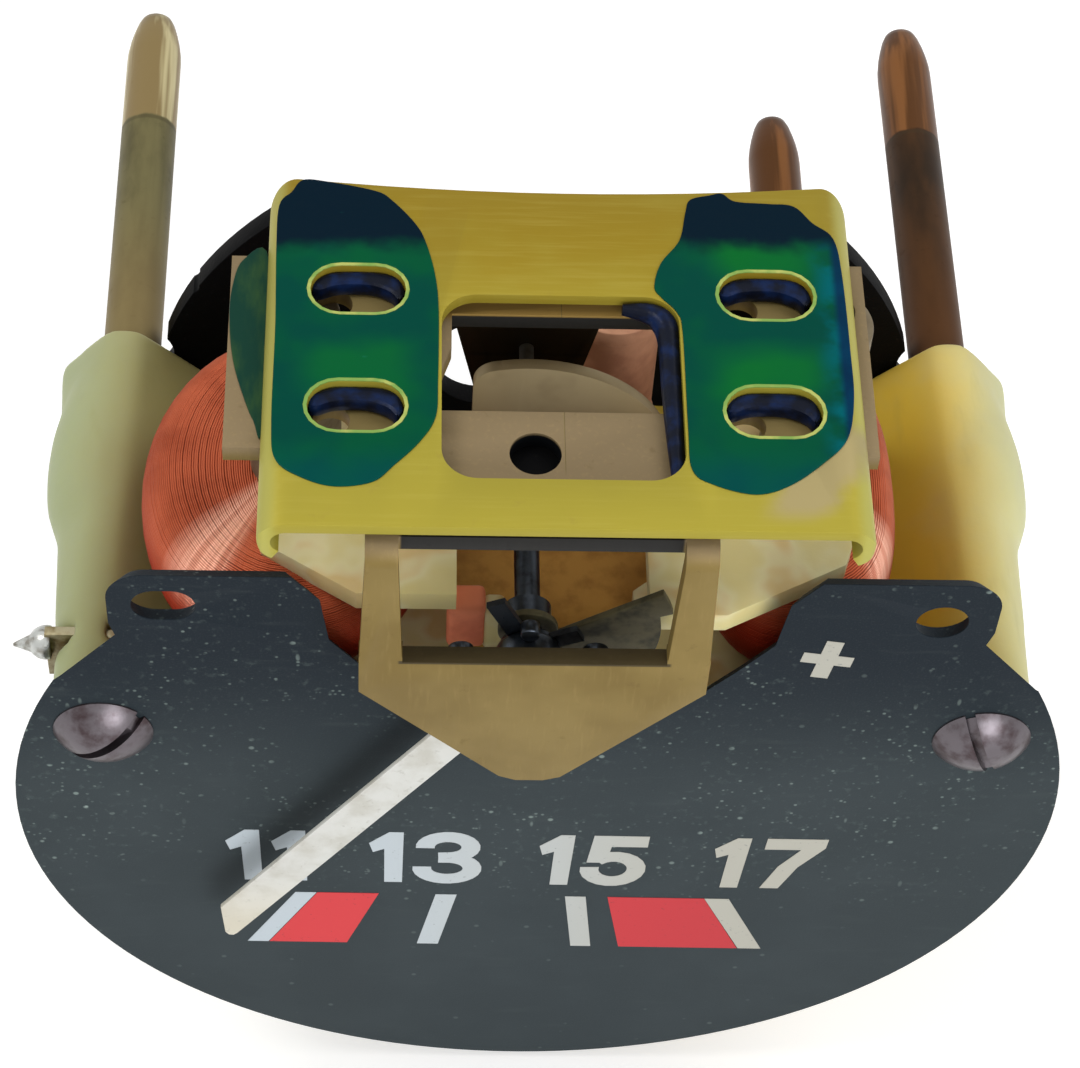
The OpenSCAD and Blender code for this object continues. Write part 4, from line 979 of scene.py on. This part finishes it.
def flat_mesh(name, loops, thickness, place, edge=0.0):
    """A flat mesh from closed outlines, the first filled and the rest cut out of it."""
    curve = bpy.data.curves.new(name, "CURVE")
    curve.dimensions = "2D"
    curve.fill_mode = "BOTH"
    curve.extrude = (thickness / 2 - edge) * MM
    curve.bevel_depth = edge * MM
    curve.bevel_resolution = 1
    curve.offset = -edge * MM
    for loop in loops:
        spline = curve.splines.new("POLY")
        spline.points.add(len(loop) - 1)
        spline.use_cyclic_u = True
        for point, (u, v) in zip(spline.points, loop):
            point.co = (u * MM, v * MM, 0, 1)
    mesh = curve_mesh(curve)
    mesh.transform(place)
    return mesh


def flat_shape(name, loops, thickness, finish, place, edge=0.0, body=FIXED):
    """A flat mesh as a piece of its own."""
    return add_mesh(name, flat_mesh(name, loops, thickness, place, edge), finish, body, 30)


def arc(cx, cy, rx, ry, start, end, steps=18):
    """Points along an elliptic arc, in degrees."""
    return [
        (cx + rx * math.cos(math.radians(start + (end - start) * i / steps)),
         cy + ry * math.sin(math.radians(start + (end - start) * i / steps)))
        for i in range(steps + 1)
    ]


UPRIGHT = Matrix.Rotation(math.radians(90), 4, "X")
POINTER_Y = -2.325
BLADE = arc(0, 0, 2, 2, 60, -240, 24) + [
    (-1.0, 26.0), (0.45, 28.0), (0.75, 28.15), (0.98, 28.05), (1.04, 27.75),
]


def pointer_blade():
    """Flat pointer with a slant tip, hanging to the left of the spindle at rest."""
    down = Vector((-math.sin(REST_TURN), -math.cos(REST_TURN)))
    across = Vector((-down.y, down.x))
    outline = [tuple(Vector((PIVOT.x / MM, 0)) + u * across + v * down) for u, v in BLADE]
    hole = arc(PIVOT.x / MM, 0, 0.65, 0.65, 0, 345, 23)
    place = Matrix.Translation(at(0, POINTER_Y, 0)) @ UPRIGHT
    piece = flat_shape("pointer_blade", [outline, hole], 0.25, "pointer", place, 0.04, MOVING)
    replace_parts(piece, "pointer")


pointer_blade()

PRINT_TILT = -0.016
INK_T = 0.02
ASKEW = Matrix(((1, 0, 0, 0), (PRINT_TILT, 1, 0, 0), (0, 0, 1, 0), (0, 0, 0, 1)))
ON_DIAL = Matrix.Translation(at(0, -0.015, 0)) @ UPRIGHT @ ASKEW

TICK_TOP, TICK_FOOT = -24.15, -29.38
MARKS = {
    # left and right ends at the top, the same at the foot, and the ink
    "tick_11": ((-12.29, -11.2), (-14.9, -13.8), "white_ink"),
    "tick_13": ((-5.0, -3.9), (-5.9, -4.78), "white_ink"),
    "tick_15": ((1.77, 2.85), (2.33, 3.4), "white_ink"),
    "tick_17": ((9.1, 10.38), (11.35, 12.58), "white_ink"),
    "low_zone": ((-11.15, -7.96), (-13.75, -9.63), "red_ink"),
    "high_zone": ((4.0, 9.08), (4.9, 11.3), "red_ink"),
}

for mark, (top, foot, ink) in MARKS.items():
    corners = [(foot[0], TICK_FOOT), (foot[1], TICK_FOOT), (top[1], TICK_TOP), (top[0], TICK_TOP)]
    flat_shape(mark, [corners], INK_T, ink, ON_DIAL)


def ribbon(points, width):
    """Outline of a stroke of even width along a line of points, with mitred corners."""
    points = [Vector(p) for p in points]
    steps = [(b - a).normalized() for a, b in zip(points, points[1:])]
    left, right = [], []
    for i, point in enumerate(points):
        before, after = steps[max(i - 1, 0)], steps[min(i, len(steps) - 1)]
        along = (before + after).normalized()
        reach = width / 2 / max(0.4, along.dot(after))
        across = Vector((-along.y, along.x)) * reach
        left.append(tuple(point + across))
        right.append(tuple(point - across))
    return left + right[::-1]


CAP = 4.95
STEM = 0.96
FIGURES = {
    # closed outlines from a figure's lower left corner
    "1": [[(0.8, 0), (1.72, 0), (1.75, CAP), (1.02, CAP), (0, 3.85), (0.2, 2.98), (0.78, 3.32)]],
    "3": [
        ribbon(arc(1.77, 3.58, 1.17, 1.0, 187, -82) + [(1.3, 2.55)], STEM),
        ribbon([(1.3, 2.52)] + arc(1.77, 1.47, 1.3, 1.06, 82, -187), STEM),
    ],
    "5": [
        [(0.28, 2.3), (1.28, 2.3), (1.43, 3.9), (3.27, 3.9), (3.27, CAP), (0.45, CAP)],
        ribbon(arc(1.69, 1.68, 1.22, 1.24, 138, -187), STEM),
    ],
    "7": [
        [(0, CAP), (3.13, CAP), (3.12, 4.1), (2.0, 2.15), (1.35, 0)]
        + [(0.38, 0), (0.98, 2.2), (1.9, 3.9), (0, 3.9)],
    ],
}
NUMBER_FOOT = -22.93
NUMBERS = {
    "11": (("1", -15.73), ("1", -13.42)),
    "13": (("1", -8.48), ("3", -6.23)),
    "15": (("1", 0.17), ("5", 2.42)),
    "17": (("1", 9.12), ("7", 11.65)),
}


def draw_number(number, figures):
    """A number in bold plain figures that lean out with the scale, as one thin piece."""
    bm = bmesh.new()
    for figure, left in figures:
        lean = 0.03 + 0.0033 * left
        for index, outline in enumerate(FIGURES[figure]):
            loop = [(left + u + lean * (v - CAP / 2), NUMBER_FOOT + v) for u, v in outline]
            stroke = flat_mesh("stroke", [loop], INK_T + 0.002 * index, ON_DIAL)
            bm.from_mesh(stroke)
            bpy.data.meshes.remove(stroke)
    return add_piece("number_" + number, bm, "white_ink")


for number_name, number_figures in NUMBERS.items():
    draw_number(number_name, number_figures)

PLUS_AT = Matrix.Translation((12.92 * MM, -1.7 * MM, 0)) @ Matrix.Rotation(math.radians(-9), 4, "Z")
PLUS = {
    "plus_bar": (ribbon([(-1.22, 0), (1.22, 0)], 0.78), INK_T),
    "plus_stem": (ribbon([(0, -1.5), (0, 1.5)], 0.84), INK_T + 0.004),
}

for bar_name, (bar, bar_t) in PLUS.items():
    flat_shape(bar_name, [bar], bar_t, "white_ink", ON_DIAL @ PLUS_AT)


# Lacquer over the calibration plate's slots


def soft_outline(points, steps=6):
    """A closed smooth line through given points."""
    out = []
    count = len(points)
    for i in range(count):
        p0, p1, p2, p3 = (Vector(points[(i + k) % count]) for k in (-1, 0, 1, 2))
        for j in range(steps):
            t = j / steps
            out.append(tuple(
                0.5 * ((2 * p1) + (p2 - p0) * t + (2 * p0 - 5 * p1 + 4 * p2 - p3) * t * t
                       + (3 * p1 - p0 - 3 * p2 + p3) * t ** 3)
            ))
    return out


def slot_outline(x, y, grow=0.0, steps=10):
    """A slot's outline, as two half circles."""
    r = SLOT_W / 2 + grow
    reach = (SLOT_LEN - SLOT_W) / 2
    return arc(x + reach, y, r, r, -90, 90, steps) + arc(x - reach, y, r, r, 90, 270, steps)


PATCHES = {
    "left": [
        (-12.9, 15.2), (-12.35, 16.05), (-11.85, 16.8), (-10.7, 16.72), (-8.5, 16.2), (-7.7, 15.6),
        (-6.7, 14.3), (-6.2, 13.2), (-5.75, 11.2), (-5.58, 9.0), (-5.6, 5.0), (-5.7, 3.0), (-6.4, 1.6),
        (-7.5, 0.3), (-8.4, -0.6), (-10.0, -0.88), (-11.4, -0.45), (-12.6, 0.5), (-12.85, 2.6),
        (-12.85, 8.0), (-12.95, 12.6),
    ],
    "right": [
        (5.75, 15.2), (6.0, 16.0), (6.9, 16.3), (7.5, 16.42), (8.1, 15.95), (9.6, 15.84), (10.8, 15.7),
        (11.6, 14.7), (12.5, 13.75), (12.75, 11.5), (12.8, 7.0), (12.75, 4.3), (12.3, 2.1), (11.1, 0.7),
        (9.6, -0.5), (8.1, -1.0), (6.3, -0.5), (5.4, 0.3), (5.32, 2.6), (5.32, 8.0), (5.1, 9.2),
        (4.45, 10.05), (4.15, 10.7), (4.5, 12.1), (5.4, 13.5),
    ],
}


def lacquer_patch(side):
    """A raised skin of lacquer round two slots, with a thin rim in each."""
    place = Matrix.Translation(at(0, 0, PLATE_TOP + 0.03))
    holes = [slot_outline(x, y, 0.16) for x, y in SLOTS[side]]
    outlines = [soft_outline(PATCHES[side])] + holes
    flat_shape("lacquer_" + side, outlines, 0.1, "lacquer", place, 0.035)
    for index, (x, y) in enumerate(SLOTS[side]):
        rim = [slot_outline(x, y, 0.2), slot_outline(x, y)]
        flat_shape(f"lacquer_{side}_rim_{index + 1}", rim, 0.05, "thin_lacquer", place)


PUDDLE = [
    (-2.08, 0.35), (-1.85, 0.95), (-1.0, 1.34), (1.0, 1.34), (1.85, 0.95), (2.1, 0.1), (1.8, -0.3),
    (1.4, 0.15), (0.6, 0.5), (-0.4, 0.55), (-1.1, 0.45), (-1.7, 0.2),
]


def lacquer_puddle(name, x, y):
    """Lacquer that ran into a slot and set there, over its rear half."""
    low, high = BRACKET_TOP + 0.05, PLATE_TOP - 0.3
    place = Matrix.Translation(at(x, y, (low + high) / 2))
    flat_shape(name, [soft_outline(PUDDLE)], high - low, "deep_lacquer", place, 0.2)


for slot_side, slot_places in SLOTS.items():
    lacquer_patch(slot_side)
    for slot_index, slot_place in enumerate(slot_places):
        lacquer_puddle(f"lacquer_{slot_side}_puddle_{slot_index + 1}", *slot_place)


RUN = [
    # a bead's points, each with its radius
    ((2.7, 9.75, 11.6), 0.25), ((3.9, 9.7, 11.5), 0.5), ((4.65, 9.2, 11.4), 0.62), ((4.8, 8.0, 11.35), 0.52),
    ((4.8, 4.0, 11.35), 0.5), ((4.85, 0.4, 11.4), 0.3),
]


def lacquer_run():
    """A bead of lacquer that ran along the window's right edge and set there."""
    curve = bpy.data.curves.new("run", "CURVE")
    curve.dimensions = "3D"
    curve.bevel_depth = MM
    curve.bevel_resolution = 3
    curve.use_fill_caps = True
    spline = curve.splines.new("NURBS")
    spline.points.add(len(RUN) - 1)
    spline.use_endpoint_u = True
    spline.order_u = 3
    for point, (place, radius) in zip(spline.points, RUN):
        point.co = (*at(*place), 1)
        point.radius = radius
    add_mesh("lacquer_run", curve_mesh(curve), "deep_lacquer", smooth_angle=80)


def sight_hole_shade_disc(radius=1.5, thickness=0.5):
    """Black disc under the bracket's round hole, a dark sheet put there as painted shade inside the hole."""
    bm = bmesh.new()
    bmesh.ops.create_cone(
        bm, cap_ends=True, segments=32, radius1=radius * MM, radius2=radius * MM, depth=thickness * MM,
    )
    under = BRACKET_TOP - SHEET_T - thickness / 2
    bmesh.ops.translate(bm, vec=at(*SIGHT_HOLE, under), verts=bm.verts)
    add_piece("sight_hole_shade_disc", bm, "black")


lacquer_run()
sight_hole_shade_disc()

WING_SMEAR = [
    (-14.5, 12.9), (-14.95, 11.0), (-14.95, 9.0), (-14.7, 6.9), (-14.2, 5.0), (-13.7, 3.6), (-13.3, 3.2),
    (-13.3, 12.9),
]
flat_shape(
    "lacquer_smear", [soft_outline(WING_SMEAR)], 0.08, "thin_green",
    Matrix.Translation(at(0, 0, BRACKET_TOP + 0.03)), 0.03,
)


# Studio: pale floor, soft light


def add_lamp(name, place, size, power, tint):
    """A round soft lamp aimed at the middle of the movement."""
    data = bpy.data.lights.new(name, "AREA")
    data.shape = "DISK"
    data.size = size
    data.energy = power
    data.color = tint
    lamp = bpy.data.objects.new(name, data)
    place = Vector(place)
    aim = (LAMPS_AIM - place).to_track_quat("-Z", "Y")
    lamp.matrix_world = Matrix.Translation(place) @ aim.to_matrix().to_4x4()
    bpy.context.scene.collection.objects.link(lamp)


def seen_rays(tree):
    """1 for camera, glossy and transmission rays, and 0 for the rest."""
    path = tree.nodes.new("ShaderNodeLightPath")
    total = path.outputs["Is Camera Ray"]
    for ray in ("Is Glossy Ray", "Is Transmission Ray"):
        add = tree.nodes.new("ShaderNodeMath")
        add.operation = "MAXIMUM"
        tree.links.new(total, add.inputs[0])
        tree.links.new(path.outputs[ray], add.inputs[1])
        total = add.outputs[0]
    return total


def make_world(ambient):
    """White where it is seen, and a plain soft light elsewhere."""
    world = bpy.data.worlds.new("studio")
    bpy.context.scene.world = world
    world.use_nodes = True
    tree = world.node_tree
    light = tree.nodes["Background"]
    light.inputs["Color"].default_value = (1, 1, 1, 1)
    strength = tree.nodes.new("ShaderNodeMix")
    strength.data_type = "FLOAT"
    tree.links.new(seen_rays(tree), strength.inputs[0])
    strength.inputs[2].default_value = ambient
    strength.inputs[3].default_value = 1.0
    tree.links.new(strength.outputs[0], light.inputs["Strength"])


def make_floor():
    """Pale floor just under the dial; it glows a little to the camera, so that it stays white."""
    bm = bmesh.new()
    bmesh.ops.create_grid(bm, x_segments=1, y_segments=1, size=0.9)
    bmesh.ops.translate(bm, vec=(0, 0.2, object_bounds()[0][2] - 0.0006), verts=bm.verts)
    mesh = bpy.data.meshes.new("floor")
    bm.to_mesh(mesh)
    bm.free()
    floor = bpy.data.objects.new("floor", mesh)
    bpy.context.scene.collection.objects.link(floor)
    material = bpy.data.materials.new("pale floor")
    material.use_nodes = True
    tree = material.node_tree
    shader = tree.nodes["Principled BSDF"]
    shader.inputs["Base Color"].default_value = (0.82, 0.82, 0.82, 1)
    shader.inputs["Roughness"].default_value = 0.9
    shader.inputs["Specular IOR Level"].default_value = 0.1
    shader.inputs["Emission Color"].default_value = (1, 1, 1, 1)
    glow = tree.nodes.new("ShaderNodeMath")
    glow.operation = "MULTIPLY"
    tree.links.new(seen_rays(tree), glow.inputs[0])
    glow.inputs[1].default_value = 0.42
    tree.links.new(glow.outputs[0], shader.inputs["Emission Strength"])
    mesh.materials.append(material)


LAMPS_AIM = Vector((0, 0.01, 0.01))
LAMPS = [
    # name, place and size in metres, power, colour
    ("window", (-0.28, 0.0, 0.42), 0.2, 0.75, (1.0, 0.98, 0.95)),
    ("front", (0.14, -0.43, 0.20), 0.3, 1.25, (0.97, 0.98, 1.0)),
    ("right", (0.26, 0.12, 0.42), 0.3, 0.5, (1.0, 1.0, 1.0)),
]

make_world(ambient=0.46)
make_floor()
for lamp_row in LAMPS:
    add_lamp(*lamp_row)

bpy.context.scene.view_settings.view_transform = "Standard"
